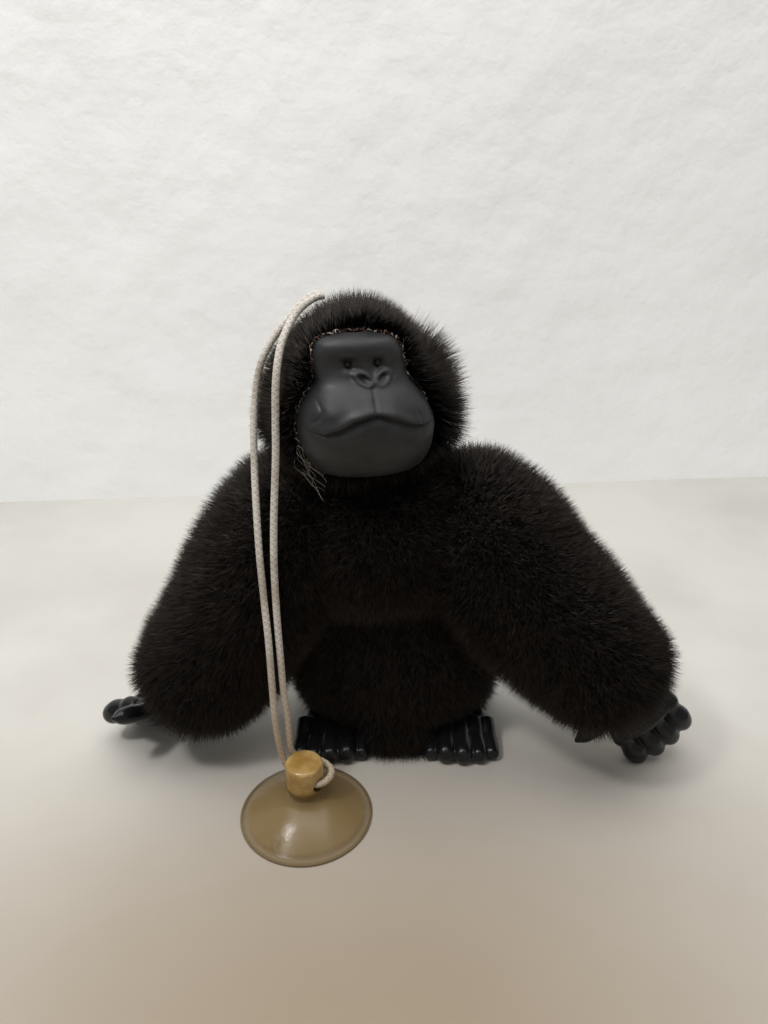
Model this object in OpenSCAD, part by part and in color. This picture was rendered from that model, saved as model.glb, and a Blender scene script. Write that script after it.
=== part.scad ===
// Seated plush gorilla with a moulded face, hands and feet, on a hanging loop with a suction cup.
// Millimetres, +Z up. The gorilla faces -Y and sits with the middle of its seat at the origin.
// Left and right are the gorilla's own, so its left side is at +X.

/* [Fur cloth] */
// Thickness of the fur cloth, its backing and pile together
fur_t = 5; // [4:0.5:6]
// Clearance between neighbouring pieces
gap = 0.35; // [0.3:0.05:0.45]
// Play round the pieces that turn
play = 0.4; // [0.3:0.05:0.5]

/* [Torso] */
// Half width of the bell-shaped lower body
seat_half_w = 36; // [34:0.5:38]
// Depth of the lower body in front of the origin
seat_front = 24; // [22:0.5:26]
// Depth of the lower body behind the origin
seat_back = 29; // [26:0.5:32]
// Half width of the chest
chest_half_w = 32; // [30:0.5:34]
// Depth of the chest in front of the origin
chest_front = 30; // [28:0.5:31]
// Height of the fold between belly and chest
waist_z = 54; // [52:0.5:57]
// Height at which the torso ends under the head
torso_top = 101; // [99:0.5:102]
// Sideways lean of the shoulders towards the gorilla's right
lean = 4.5; // [0:0.5:6]

/* [Head] */
// Half width of the fur hood at the cheeks
hood_half_w = 29; // [27.5:0.5:30]
// Depth of the hood in front of the neck axis
hood_front = 18; // [17:0.5:19]
// Depth of the hood behind the neck axis
hood_back = 26; // [24:0.5:28]
// Height of the lowest point of the head
head_low = 95.5; // [95:0.5:97]
// Height of the crown
crown_z = 147.5; // [146:0.5:150]
// Neck axis, sideways
neck_x = -12; // [-13:0.5:-10]
// Neck axis, front to back
neck_y = -8; // [-9:0.5:-6]
// Turn of the face towards the gorilla's left
face_turn = 14; // [10:1:18]
// How far the head turns each way from there
neck_swing = 12; // [8:1:14]

/* [Face] */
// Width of the moulded face across the jaw
face_w = 38; // [36:0.5:39]
// Height of the chin
chin_z = 101.2; // [101:0.1:102]
// Height of the top edge of the face
brow_z = 140.5; // [139:0.1:141]
// Distance of the face's back edge from the neck axis
face_back = 12; // [11:0.5:13]
// How far the muzzle stands out from that edge
muzzle = 16; // [14:0.5:17]
// How far the top of the face leans towards the gorilla's right of the chin
face_lean = 3; // [2:0.5:4]
// Wall of the moulded face
face_wall = 1.6; // [1.2:0.1:2]
// Distance between the eyes
eye_gap = 7.9; // [7:0.1:9]
// Height of the eyes
eye_z = 133; // [132:0.5:134]
// Diameter of an eye bead
eye_d = 2.3; // [2:0.1:2.6]

/* [Arms] */
// Half of the distance between the shoulders
shoulder_half = 27; // [26:0.5:28.5]
// Height of the shoulders
shoulder_z = 80; // [78:0.5:81]
// Place of the shoulders, front to back
shoulder_y = -6; // [-8:0.5:-4]
// Radius of the sleeve at the shoulder
shoulder_r = 23.5; // [22:0.5:24]
// How much the sleeve swells between shoulder and wrist
swell = 3; // [1:0.5:4]
// How far the middle of the sleeve sags inwards
sag = 2; // [0:0.5:3]
// Radius of the sleeve at the wrist
cuff_r = 21.5; // [20:0.5:22.5]
// Length from the shoulder to the wrist end's middle
arm_l = 66; // [62:1:69]
// Length of the rounded end past that middle
cuff_l = 15.5; // [14.5:0.5:17]
// Least distance from the wrist end's middle to the hand
wrist_l = 14; // [13:0.5:15]
// Lift that the torso leaves room for; the hanging loop stops the right arm earlier
arm_lift = 40; // [25:1:45]

/* [Hands] */
// Width across the four fingers
palm_w = 24; // [22:0.5:25]
// Length of a finger past the palm
finger_l = 16.5; // [16:0.5:18.5]
// Thickness of the palm
palm_t = 11; // [10:0.5:12]
// Backwards bend of the fingers from the wrist
hand_bend = 45; // [35:1:50]

/* [Feet] */
// Distance between the middles of the feet
stance = 43.4; // [42:0.2:46]
// Distance of the ankles in front of the origin
ankle_y = -8; // [-9:0.5:-7]
// Width of a foot across the toes
foot_w = 25; // [23:0.5:26]
// Reach of the toes from the ankle
toe_reach = 21.7; // [20:0.1:21.7]
// Height of the instep
instep_z = 9; // [8:0.5:10]
// Turn of a foot outwards
toe_out = 25; // [15:1:30]
// Turn of a foot inwards
toe_in = 5; // [3:1:6]

/* [Wrists and ankles] */
// Radius of a hand's or foot's stem
stem_r = 5.5; // [5:0.25:6]
// Length of the stem
stem_l = 11; // [10:0.5:12]
// How far the stem's flange stands out
flange = 1.8; // [1.4:0.1:2.2]
// Thickness of the tie that gathers the cloth round the stem
tie_d = 1.6; // [1.2:0.1:2]

/* [Hanging loop] */
// Diameter of the braided cord
cord_d = 2.1; // [1.8:0.1:2.2]
// Diameter of the knot in the head
knot_d = 7; // [6:0.5:8]

/* [Suction cup] */
// Diameter of the cup
cup_d = 40; // [38:0.5:40]
// Height of the dome
cup_h = 8.5; // [7.5:0.5:9]
// Wall of the dome near the middle
cup_wall = 2.2; // [1.8:0.1:2.6]
// Thickness of the rim
rim_t = 0.8; // [0.6:0.1:1]
// Width of the flat sealing rim
rim_w = 1.6; // [1.2:0.1:2]
// Diameter of the lug
lug_d = 11.2; // [10.8:0.1:11.4]
// Height of the top of the lug
lug_z = 20.3; // [19.5:0.1:22]
// Diameter of the hole through the lug
lug_hole_d = 4.4; // [4.2:0.1:5]

/* [Hidden] */
$fn = 48;

fur = "#1b1715";
vinyl = "#26272a";
wadding = "#d9d4c8";
thread = "#4a3a32";
LEFT = 1;
RIGHT = -1;

// Resting pose of each side: [droop, forward reach] of the arm,
// [droop, azimuth, roll, extra reach] of the hand
arm_pose = [[43, 25], [57.1, 15]];
hand_pose = [[52, 26, 190, 1.5], [45, 0, 45, -2]];

// Rings round the torso: [height, half width, front, back, sideways lean]
torso_rows = [
    [-0.5, seat_half_w - 6, seat_front - 5, seat_back - 6, 0],
    [4, seat_half_w - 2.5, seat_front - 2, seat_back - 3, 0],
    [14, seat_half_w, seat_front, seat_back, 0],
    [32, seat_half_w - 0.5, seat_front, seat_back, lean * 0.2],
    [waist_z - 12, seat_half_w - 2, seat_front - 1.5, seat_back - 0.5, lean * 0.5],
    [waist_z, (seat_half_w + chest_half_w) / 2 - 3, chest_front - 8.5, seat_back - 2, lean * 0.7],
    [waist_z + 8, chest_half_w, chest_front - 2, seat_back - 1, lean * 0.8],
    [waist_z + 19, chest_half_w + 1, chest_front, seat_back - 1, lean],
    [torso_top - 13, chest_half_w, chest_front - 1.5, seat_back - 3, lean * 1.3],
    [torso_top - 5, chest_half_w - 4, chest_front - 5, seat_back - 6, lean * 1.6],
    [torso_top - 1, chest_half_w - 8, chest_front - 9, seat_back - 9, lean * 1.8],
    [torso_top, chest_half_w - 13, chest_front - 14, seat_back - 14, lean * 1.8]
];

// Rings round the hood about the neck axis: [height, half width, front, back, 0]
hood_rows = [
    [head_low, hood_half_w * 0.42, hood_front * 0.5, hood_back * 0.45, 0],
    [head_low + 3, hood_half_w * 0.66, hood_front * 0.72, hood_back * 0.7, 0],
    [head_low + 8, hood_half_w * 0.93, hood_front * 0.9, hood_back * 0.94, 0],
    [head_low + 13, hood_half_w, hood_front * 0.97, hood_back, 0],
    [head_low + 22, hood_half_w * 0.955, hood_front, hood_back, 0],
    [crown_z - 18.5, hood_half_w * 0.83, hood_front, hood_back * 0.93, 0],
    [crown_z - 11, hood_half_w * 0.68, hood_front * 0.94, hood_back * 0.8, 0],
    [crown_z - 5.5, hood_half_w * 0.52, hood_front * 0.74, hood_back * 0.6, 0],
    [crown_z - 1.6, hood_half_w * 0.31, hood_front * 0.45, hood_back * 0.36, 0],
    [crown_z, hood_half_w * 0.1, hood_front * 0.15, hood_back * 0.12, 0]
];
SIDES = 26;
HOLLOW_SIDES = 16;
ROOM_SIDES = 14;

// Half width of the face from chin to top edge, each as a share of the whole
face_rows = [
    [0, 0.12, 0.14], [0.02, 0.56, 0.5], [0.07, 0.8, 0.76], [0.18, 0.94, 0.93], [0.29, 0.99, 0.99],
    [0.39, 1, 1], [0.51, 0.92, 0.97], [0.61, 0.78, 0.8], [0.69, 0.67, 0.56], [0.78, 0.655, 0.42],
    [0.89, 0.62, 0.42], [0.96, 0.5, 0.33], [1, 0.15, 0.12]
];
FACE_STEPS = 26;
FACE_SIDES = 24;

// Where the cord leaves the crown, and the cup's middle
exit_at = [-19, -6, crown_z - 1.4];
cup_at = [-27.6, -49.6, 0];
lug_hole_z = 14.3;
lug_hole_turn = -35;

// Route of the hanging loop, from the crown through the lug's hole and back to the crown
cord_route = [
    [-21.2, -3.4, 147.4], [-24, -4, 147], [-27, -6, 145], [-30.6, -8.5, 141.2], [-34.4, -11.5, 137],
    [-37.8, -14, 131], [-39.8, -15, 123.4], [-40.5, -18.5, 114.4], [-40.5, -22, 105], [-40, -27, 95],
    [-39.2, -32.4, 81], [-38.3, -35.6, 67], [-37.4, -38.4, 55], [-36.8, -41.2, 40.5], [-36.2, -43.4, 30],
    [-35.5, -44.3, 23.5], [-34.6, -44.8, 18.4], [-33.5, -45.5, 15.4], [-31.2, -47.1, 14],
    [-28.6, -49.3, 14.1], [-25.9, -52.1, 14.5], [-22.9, -52.8, 14.8], [-20.4, -51.1, 15.2],
    [-19.7, -48.1, 15.5], [-21.3, -45.6, 15.7], [-24, -43.7, 15.7], [-27.6, -42.8, 15.8],
    [-30.5, -43.3, 16.8], [-32.2, -43.3, 19.8], [-32.6, -42.4, 24.5], [-32.9, -41.4, 30.5],
    [-33.8, -39.9, 39], [-34.3, -38.2, 49.5], [-34.8, -36.4, 62.5], [-35, -34.4, 76.5], [-34.6, -32, 90],
    [-33.9, -30, 101], [-33.3, -28.8, 110], [-33, -28, 118], [-32.4, -27.2, 128.5], [-31.4, -23.5, 136],
    [-29.6, -18.5, 141], [-27, -13.5, 144.6], [-23.5, -10, 147], [-20.4, -8.6, 147.8]
];
CORD_SIDES = 8;

function unit(v) = v / norm(v);

// Smooth curve through the rows of a table, at place t from 0 to the last row
function blend_rows(rows, t) =
    let (i = min(floor(t), len(rows) - 2), f = t - i,
         a = rows[max(i - 1, 0)], b = rows[i], c = rows[i + 1], d = rows[min(i + 2, len(rows) - 1)])
    b + (c - a) * f / 2 + (2 * a - 5 * b + 4 * c - d) * f * f / 2 + (3 * b - a - 3 * c + d) * f * f * f / 2;
function smooth_rows(rows, steps) =
    [for (k = [0 : steps]) blend_rows(rows, k * (len(rows) - 1) / steps)];

// One ring round a body form; grow makes it larger or smaller
function body_ring(row, sides, grow = 0, square = 2.3) =
    [for (k = [0 : sides - 1])
        let (a = 360 * k / sides, c = cos(a), s = sin(a), depth = (s < 0 ? row[2] : row[3]) + grow)
        [(row[1] + grow) * sign(c) * pow(abs(c), 2 / square) - row[4],
         depth * sign(s) * pow(abs(s), 2 / square), row[0]]];
function body_rings(rows, steps, sides, grow = 0, square = 2.3) =
    [for (row = smooth_rows(rows, steps)) body_ring(row, sides, grow, square)];

// Closed skin over a stack of rings that all have the same number of points
module skin(rings) {
    n = len(rings[0]);
    m = len(rings);
    first = [for (i = [0 : 2]) [for (p = rings[0]) p[i]] * [for (p = rings[0]) 1] / n];
    last = [for (i = [0 : 2]) [for (p = rings[m - 1]) p[i]] * [for (p = rings[0]) 1] / n];
    points = concat([for (ring = rings) each ring], [first, last]);
    sides = [for (j = [0 : m - 2], k = [0 : n - 1])
        let (a = j * n + k, b = j * n + (k + 1) % n, c = a + n, d = b + n) each [[a, c, b], [b, c, d]]];
    caps = [for (k = [0 : n - 1]) each [
        [m * n, k, (k + 1) % n],
        [m * n + 1, (m - 1) * n + (k + 1) % n, (m - 1) * n + k]]];
    polyhedron(points, concat(sides, caps));
}

// Tangent of a path at point i, and a side vector carried along the path without twist
function path_dir(path, i) = unit(path[min(i + 1, len(path) - 1)] - path[max(i - 1, 0)]);
function path_sides(path, i, side, found = []) =
    i == len(path) ? found
    : let (t = path_dir(path, i), s = unit(side - t * (side * t))) path_sides(path, i + 1, s, concat(found, [s]));
function tube_rings(path, radii, sides, side, flat = 1) =
    let (across = path_sides(path, 0, side))
    [for (i = [0 : len(path) - 1])
        let (t = path_dir(path, i), u = across[i], v = cross(t, u))
        [for (k = [0 : sides - 1])
            path[i] + radii[i] * (cos(360 * k / sides) * u + flat * sin(360 * k / sides) * v)]];

// The shape made of its cuts as one mesh; a resize by zeros leaves its size alone
module one_mesh() resize([0, 0, 0]) children();

// Torso
module torso_form(grow = 0, sides = SIDES, steps = 18) skin(body_rings(torso_rows, steps, sides, grow));
module torso_hollow(grow = 0)
    difference() {
        translate([0, 0, fur_t])
            skin(body_rings([for (r = torso_rows) if (r[0] < torso_top - 6) r], 9, HOLLOW_SIDES, grow - fur_t));
        neck_bowl(fur_t / 2 - grow);
        for (side = [LEFT, RIGHT]) {
            arm_room(side, fur_t / 2 - grow);
            foot_room(side, fur_t - 0.4 - grow);
        }
    }
function shoulder(side) = [side * shoulder_half - lean, shoulder_y, shoulder_z];
function ankle(side) = [side * stance / 2, ankle_y, 0];
// Room that the turning head needs in the torso
function hood_reach(z) = lookup(z, [for (row = hood_rows) [row[0], max(row[1], row[3])]]);
module neck_bowl(grow = 0)
    translate([neck_x, neck_y, 0])
        rotate_extrude($fn = 32) polygon([
            [0, head_low - gap - grow], [hood_reach(head_low) + gap, head_low - gap - grow],
            [hood_reach(head_low + 3) + gap + grow, head_low + 3 - gap - grow],
            [hood_reach(head_low + 8) + gap + grow, head_low + 8 - gap],
            [hood_reach(head_low + 8) + gap + grow, crown_z], [0, crown_z]]);
// Room for a foot as it turns
module foot_room(side, grow = 0)
    translate(ankle(side) + [0, 0, -1]) {
        cylinder(r = foot_w / 2 + 1.6 + grow, h = instep_z + gap + 1 + grow);
        translate([-foot_w / 2 - 2.2 - grow, -2 * toe_reach, 0])
            cube([foot_w + 4.4 + 2 * grow, 2 * toe_reach, instep_z + gap + 1 + grow]);
    }
module torso_cover()
    color(fur) one_mesh() difference() {
        torso_form();
        translate([-100, -100, -10]) cube([200, 200, 10]);
        neck_bowl();
        for (side = [LEFT, RIGHT]) {
            arm_room(side);
            foot_room(side);
            translate(ankle(side)) stem_bore();
            translate(ankle(side) + [0, 0, instep_z - sole_cut]) tie_room();
        }
        torso_hollow();
    }
module torso_stuffing()
    color(wadding) one_mesh() difference() {
        torso_hollow(-gap);
        for (side = [LEFT, RIGHT]) translate(ankle(side)) stem_pocket();
    }

// Head, modelled about the neck axis and then turned
module head_place() translate([neck_x, neck_y, 0]) rotate([0, 0, face_turn]) children();
module hood_form(grow = 0, sides = SIDES, steps = 18) skin(body_rings(hood_rows, steps, sides, grow, 2.2));
// The shoulders press into the underside of the hood over its whole turn
module shoulder_room(grow = 0)
    for (side = [LEFT, RIGHT], turn = [-1, 0, 1])
        rotate([0, 0, turn * neck_swing - face_turn])
            translate(shoulder(side) - [neck_x, neck_y, 0]) sphere(shoulder_r + gap + 0.4 + grow);
module hood_hollow(grow = 0)
    difference() {
        translate([0, 0, (head_low + crown_z) / 2]) scale(1 - (fur_t - grow) / 24)
            translate([0, 0, -(head_low + crown_z) / 2]) hood_form(0, HOLLOW_SIDES, 9);
        shoulder_room(fur_t / 2 - grow);
    }
module head_cover()
    color(fur) head_place() difference() {
        hood_form();
        shoulder_room();
        hood_hollow();
        face_pocket();
        head_knot_room();
    }
module head_stuffing()
    color(wadding) head_place() difference() {
        hood_hollow(-gap);
        face_pocket(gap);
        head_knot_room(gap);
    }

// Thickness of the thread that joins the hood's edge to the face
seam_d = 0.8;

// Face: half width and depth by height, from chin to top edge
face_h = brow_z - chin_z;
function face_row(t) = blend_rows(face_rows, t);
function lean_x(z) = -face_lean * pow((z - chin_z) / face_h, 2);
function bump(x, y, rx, ry) = exp(-(x * x / (rx * rx) + y * y / (ry * ry)));
// Depth of the face in front of its back edge, at x across and height z
function face_relief(x, z) =
    bump(x, z - chin_z - 0.64 * face_h, 4.2, 1.9) * 1.5
    + bump(x, z - chin_z - 0.87 * face_h, 9, 2.4) * 0.9
    - bump(abs(x) - eye_gap / 2, z - eye_z, 1.9, 1.5) * 0.9
    - bump(0, z - chin_z - 0.4 * face_h + 0.012 * x * x, 1, 0.9) * 0.7;
function face_point(row, k, wall, sides) =
    let (a = 180 * k / sides, hw = face_w / 2 * row[1] - wall, z = chin_z + face_h * row[0],
         x = -hw * cos(a), depth = max(muzzle * row[2] - wall, 0.2) * pow(max(sin(a), 0), 0.72))
    [x + lean_x(z), -face_back - depth - (wall == 0 ? face_relief(x, z) * sin(a) : 0), z];
function face_grid(wall) =
    [for (j = [0 : FACE_STEPS])
        let (row = face_row(j * (len(face_rows) - 1) / FACE_STEPS),
             z = wall + (face_h - 2 * wall) * row[0])
        [for (k = [0 : FACE_SIDES]) face_point([wall == 0 ? row[0] : z / face_h, row[1], row[2]], k, wall, FACE_SIDES)]];
// Outline of the face's back edge
function face_outline(grow) =
    let (rows = [for (j = [0 : FACE_STEPS]) face_row(j * (len(face_rows) - 1) / FACE_STEPS)])
    [for (side = [LEFT, RIGHT], j = [0 : FACE_STEPS])
        let (r = rows[side == LEFT ? j : FACE_STEPS - j], z = chin_z + face_h * r[0] + grow * (r[0] - 0.5) * 2)
        [side * (face_w / 2 * r[1] + grow) + lean_x(z), z]];
module face_prism(grow, near, far)
    rotate([90, 0, 0]) translate([0, 0, near]) linear_extrude(far - near) polygon(face_outline(grow));
module face_pocket(grow = 0) face_prism(gap + grow, face_back - seam_d - 2 * gap - grow, 60);
module face_shell() {
    outer = face_grid(0);
    inner = face_grid(face_wall);
    n = FACE_SIDES + 1;
    m = FACE_STEPS + 1;
    points = concat([for (r = outer) each r], [for (r = inner) each r]);
    function at(layer, j, k) = layer * n * m + j * n + k;
    sheet = [for (j = [0 : m - 2], k = [0 : n - 2]) each [
        [at(0, j, k), at(0, j, k + 1), at(0, j + 1, k)], [at(0, j, k + 1), at(0, j + 1, k + 1), at(0, j + 1, k)],
        [at(1, j, k), at(1, j + 1, k), at(1, j, k + 1)], [at(1, j, k + 1), at(1, j + 1, k), at(1, j + 1, k + 1)]]];
    rims = concat(
        [for (j = [0 : m - 2]) each [
            [at(0, j, 0), at(0, j + 1, 0), at(1, j, 0)], [at(1, j, 0), at(0, j + 1, 0), at(1, j + 1, 0)],
            [at(0, j, n - 1), at(1, j, n - 1), at(0, j + 1, n - 1)],
            [at(1, j, n - 1), at(1, j + 1, n - 1), at(0, j + 1, n - 1)]]],
        [for (k = [0 : n - 2]) each [
            [at(0, 0, k), at(1, 0, k), at(0, 0, k + 1)], [at(1, 0, k), at(1, 0, k + 1), at(0, 0, k + 1)],
            [at(0, m - 1, k), at(0, m - 1, k + 1), at(1, m - 1, k)],
            [at(1, m - 1, k), at(0, m - 1, k + 1), at(1, m - 1, k + 1)]]]);
    polyhedron(points, [for (f = concat(sheet, rims)) [f[0], f[2], f[1]]]);
}
function eye_front() =
    let (t = (eye_z - chin_z) / face_h)
    face_back + muzzle * lookup(t, [for (r = face_rows) [r[0], r[2]]]) * 0.93;
module eye_place(side) translate([side * eye_gap / 2 + lean_x(eye_z), -eye_front(), eye_z]) rotate([-90, 0, 0]) children();
module face_mask()
    color(vinyl) head_place() difference() {
        face_shell();
        for (side = [LEFT, RIGHT]) eye_place(side) translate([0, 0, -4]) cylinder(d = eye_d + 0.1, h = 9, $fn = 24);
    }
module eye(side)
    color("#0a0a0b") head_place() eye_place(side) {
        sphere(d = eye_d, $fn = 24);
        cylinder(d = eye_d - 0.8, h = 3, $fn = 24);
    }
// Thread that joins the hood's edge to the face
module face_seam() {
    edge = face_outline(-face_wall / 2);
    path = [for (p = edge) [p[0], -face_back + gap + seam_d / 2, p[1]]];
    color(thread) head_place() skin(tube_rings(path, [for (p = path) seam_d / 2], 6, [0, 1, 0]));
}

// Knot of the hanging cord inside the crown
module head_knot_room(grow = 0)
    rotate([0, 0, -face_turn]) translate(exit_at - [neck_x, neck_y, 0]) {
        translate([0, 0, -knot_d]) sphere(d = knot_d + 2 * gap + 2 * grow);
        translate([0, 0, -knot_d]) cylinder(r = cord_d + gap + grow, h = 3 * knot_d);
    }
module cord_knot()
    color("#cfcac0") translate(exit_at) {
        translate([0, 0, -knot_d]) sphere(d = knot_d);
        for (y = [-1, 1]) translate([0, y * (cord_d / 2 + 0.05), -knot_d])
            cylinder(d = cord_d, h = knot_d - 0.6);
    }

// Stem of a hand or foot along +Z from its mouth, and the rooms round it
module stem()
    rotate_extrude() polygon([
        [0, -1], [stem_r, -1], [stem_r, stem_l - flange], [stem_r + flange, stem_l - flange],
        [stem_r + flange, stem_l], [0, stem_l]]);
module stem_bore()
    translate([0, 0, instep_z - 1]) cylinder(r = stem_r + play, h = stem_l + 8);
module stem_pocket()
    translate([0, 0, instep_z - 1]) cylinder(r = stem_r + flange + play, h = stem_l + 1.5 + play);
// Room round the tie and the flange, measured up the stem
module tie_room()
    translate([0, 0, stem_l - flange - tie_d - play - 0.2])
        cylinder(r = stem_r + max(flange, tie_d) + play + 0.2, h = 8);
module tie()
    translate([0, 0, stem_l - flange - tie_d / 2 - play])
        rotate_extrude() translate([stem_r + play + tie_d / 2, 0]) circle(d = tie_d, $fn = 16);

// Arms. Everything is made for the left side and mirrored for the right.
function pick(pair, side) = side == LEFT ? pair[0] : pair[1];
module mirrored(side) mirror([side == RIGHT ? 1 : 0, 0, 0]) children();
function own_shoulder(side) = [shoulder_half - side * lean, shoulder_y, shoulder_z];
module arm_place(side, lift = 0) {
    pose = pick(arm_pose, side);
    mirrored(side) translate(own_shoulder(side)) rotate([0, 90 + pose[0] - lift, -pose[1]]) children();
}
// The mouth of the sleeve, from which the hand points along +Z with its own turn
module wrist_place(side) {
    pose = pick(arm_pose, side);
    hand = pick(hand_pose, side);
    reach = arm_l * [cos(pose[0]) * cos(pose[1]), -cos(pose[0]) * sin(pose[1]), -sin(pose[0])];
    mirrored(side) translate(own_shoulder(side) + reach) rotate([0, 90 + hand[0], hand[1]])
        rotate([0, 0, hand[2]]) translate([0, 0, wrist_l + hand[3]]) children();
}
arm_rows = [for (a = [-90 : 15 : 0]) [shoulder_r * sin(a), shoulder_r * cos(a), 0]];
sleeve_rows = [for (t = [0.14 : 0.14 : 0.99])
    [arm_l * t, shoulder_r + (cuff_r - shoulder_r) * t + swell * sin(180 * pow(t, 0.8)), sag * sin(180 * t)]];
cuff_rows = [for (a = [0 : 15 : 90]) [arm_l + cuff_l * sin(a), max(cuff_r * cos(a), 0.6), 0]];
function arm_rings(grow, sides) =
    [for (row = concat(arm_rows, sleeve_rows, cuff_rows))
        [for (k = [0 : sides - 1]) let (r = max(row[1] + grow, 0.4))
            [row[2] + r * cos(360 * k / sides), r * sin(360 * k / sides),
             row[0] + (row[0] < 0 ? -grow : 0) * abs(row[0]) / shoulder_r
                    + (row[0] > arm_l ? grow * (row[0] - arm_l) / cuff_l : 0)]]];
module arm_form(grow = 0, sides = SIDES - 4) skin(arm_rings(grow, sides));
// Room for the lifting arm in the torso: the space that the sleeve sweeps over its whole lift
module room_ball(r) sphere(r = r / pow(cos(180 / ROOM_SIDES), 2), $fn = ROOM_SIDES);
module arm_room(side, grow = 0)
    hull() {
        arm_place(side) room_ball(shoulder_r + gap + grow);
        for (lift = [0, arm_lift]) {
            arm_place(side, lift) translate([sag / 2, 0, arm_l * 0.3]) room_ball(shoulder_r + swell * 0.85 + gap + grow);
            arm_place(side, lift) translate([sag, 0, arm_l * 0.7]) room_ball(shoulder_r + swell * 0.6 + gap + grow);
        }
    }
module wrist_cut(side, grow = 0)
    wrist_place(side) translate([0, 0, -gap - grow]) cylinder(r = 45, h = 60);
module arm_hollow(side, grow = 0)
    difference() {
        arm_place(side) arm_form(grow - fur_t, 16);
        wrist_cut(side, 3.2 - grow);
    }
module arm_cover(side)
    color(fur) difference() {
        arm_place(side) arm_form();
        wrist_cut(side);
        arm_hollow(side);
        wrist_place(side) translate([0, 0, -stem_l - 4]) cylinder(r = stem_r + play, h = 40);
        wrist_place(side) rotate([180, 0, 0]) tie_room();
    }
module arm_stuffing(side)
    color(wadding) difference() {
        arm_hollow(side, -gap);
        wrist_place(side) translate([0, 0, -stem_l - 1 - play])
            cylinder(r = stem_r + flange + play + 0.6, h = 40);
    }
module wrist_tie(side) color(thread) wrist_place(side) rotate([180, 0, 0]) tie();

// A finger or toe: a blunt tube along its own path
module digit(path, radii, side = [1, 0, 0], flat = 1) skin(tube_rings(path, radii, 12, side, flat));
function arc_path(start, dir, bend, length, steps) =
    [for (i = [0 : steps])
        let (t = i / steps, a = bend * t)
        start + length * t * (cos(a / 2) * dir[0] + sin(a / 2) * dir[1])];
module hand_solid() {
    out = [0, sin(hand_bend), cos(hand_bend)];
    down = [0, -cos(hand_bend), sin(hand_bend)];
    knuckle = [0, 1, 5];
    pitch = palm_w / 4;
    // palm
    skin(tube_rings(
        [[0, 0, 0], [0, 0, 1.5], [0, 0.4, 4], [0, 2, 7.5], knuckle + 6 * out, knuckle + 7.5 * out],
        [for (s = [0.62, 0.84, 0.96, 1, 0.9, 0.5]) s * palm_w / 2], 20, [1, 0, 0], palm_t / palm_w));
    // four fingers
    for (i = [0 : 3])
        let (x = (i - 1.5) * pitch, l = finger_l * (i == 0 || i == 3 ? 0.88 : 1), r = pitch * 0.62)
        digit(arc_path(knuckle + [x, 0, 0] + 1.5 * out, [out, down], 50, l, 7),
              [for (s = [0.86, 1, 0.96, 0.93, 0.98, 1.04, 0.9, 0.35]) s * r]);
    // thumb
    digit([for (t = [0, 0.3, 0.6, 0.8, 0.93, 1]) [-palm_w * (0.25 + 0.7 * t), -0.5 - 1.5 * t, 3 + 1.2 * t]],
          [2.6, 3, 2.9, 2.8, 2.2, 1], [0, 1, 0]);
}
module hand(side)
    color(vinyl) wrist_place(side) {
        hand_solid();
        rotate([180, 0, 0]) stem();
    }

// Feet
toe_share = [0.17, 0.23, 0.23, 0.2, 0.17];
// Depth by which the round sole is cut flat
sole_cut = 0.5;
function toe_x(i) = foot_w * ((i == 0 ? 0 : [for (k = [0 : i - 1]) toe_share[k]] * [for (k = [0 : i - 1]) 1])
    + toe_share[i] / 2 - 0.5);
module foot_solid() {
    // instep and heel
    skin([for (row = [[7, 0.25, 0.4], [6.2, 0.5, 0.7], [3.5, 0.62, 0.9], [-2, 0.72, 1], [-7, 0.82, 0.95],
                      [-11, 0.9, 0.8], [-13.5, 0.86, 0.6]])
        [for (k = [0 : 19]) let (a = 360 * k / 20)
            [row[1] * foot_w / 2 * cos(a), row[0],
             instep_z * 0.5 * row[2] + 0.1 + instep_z * 0.5 * row[2] * sign(sin(a)) * pow(abs(sin(a)), 0.7)]]]);
    // toes, fanned so that their tips lie on one circle about the ankle
    for (i = [0 : 4])
        let (x = toe_x(i), r = foot_w * toe_share[i] * 0.53, tip = sqrt(toe_reach * toe_reach - x * x) - 0.2,
             back = 8, l = tip - back)
        digit([for (t = [0, 0.25, 0.5, 0.7, 0.85, 0.95, 1])
                  [x * (0.9 + 0.1 * t), -back - l * t, r + 0.15 + (instep_z * 0.62 - r) * (1 - t) * (1 - t) * 0.5]],
              [for (s = [0.95, 1, 0.95, 1, 0.95, 0.66, 0.3]) s * r]);
}
module foot(side)
    color(vinyl) mirrored(side) translate(ankle(LEFT)) {
        translate([0, 0, -sole_cut]) difference() {
            foot_solid();
            translate([-50, -50, sole_cut - 20]) cube([100, 100, 20]);
        }
        translate([0, 0, instep_z - sole_cut]) stem();
    }
module ankle_tie(side)
    color(thread) mirrored(side) translate(ankle(LEFT) + [0, 0, instep_z - sole_cut]) tie();

// Hanging cord: the tube follows its route with a ring between each pair of points
module hang_cord() {
    steps = 2 * (len(cord_route) - 1);
    path = smooth_rows(cord_route, steps);
    color("#d8d2c6") skin(tube_rings(path, [for (p = path) cord_d / 2], CORD_SIDES, [0, 1, 0]));
}

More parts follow.
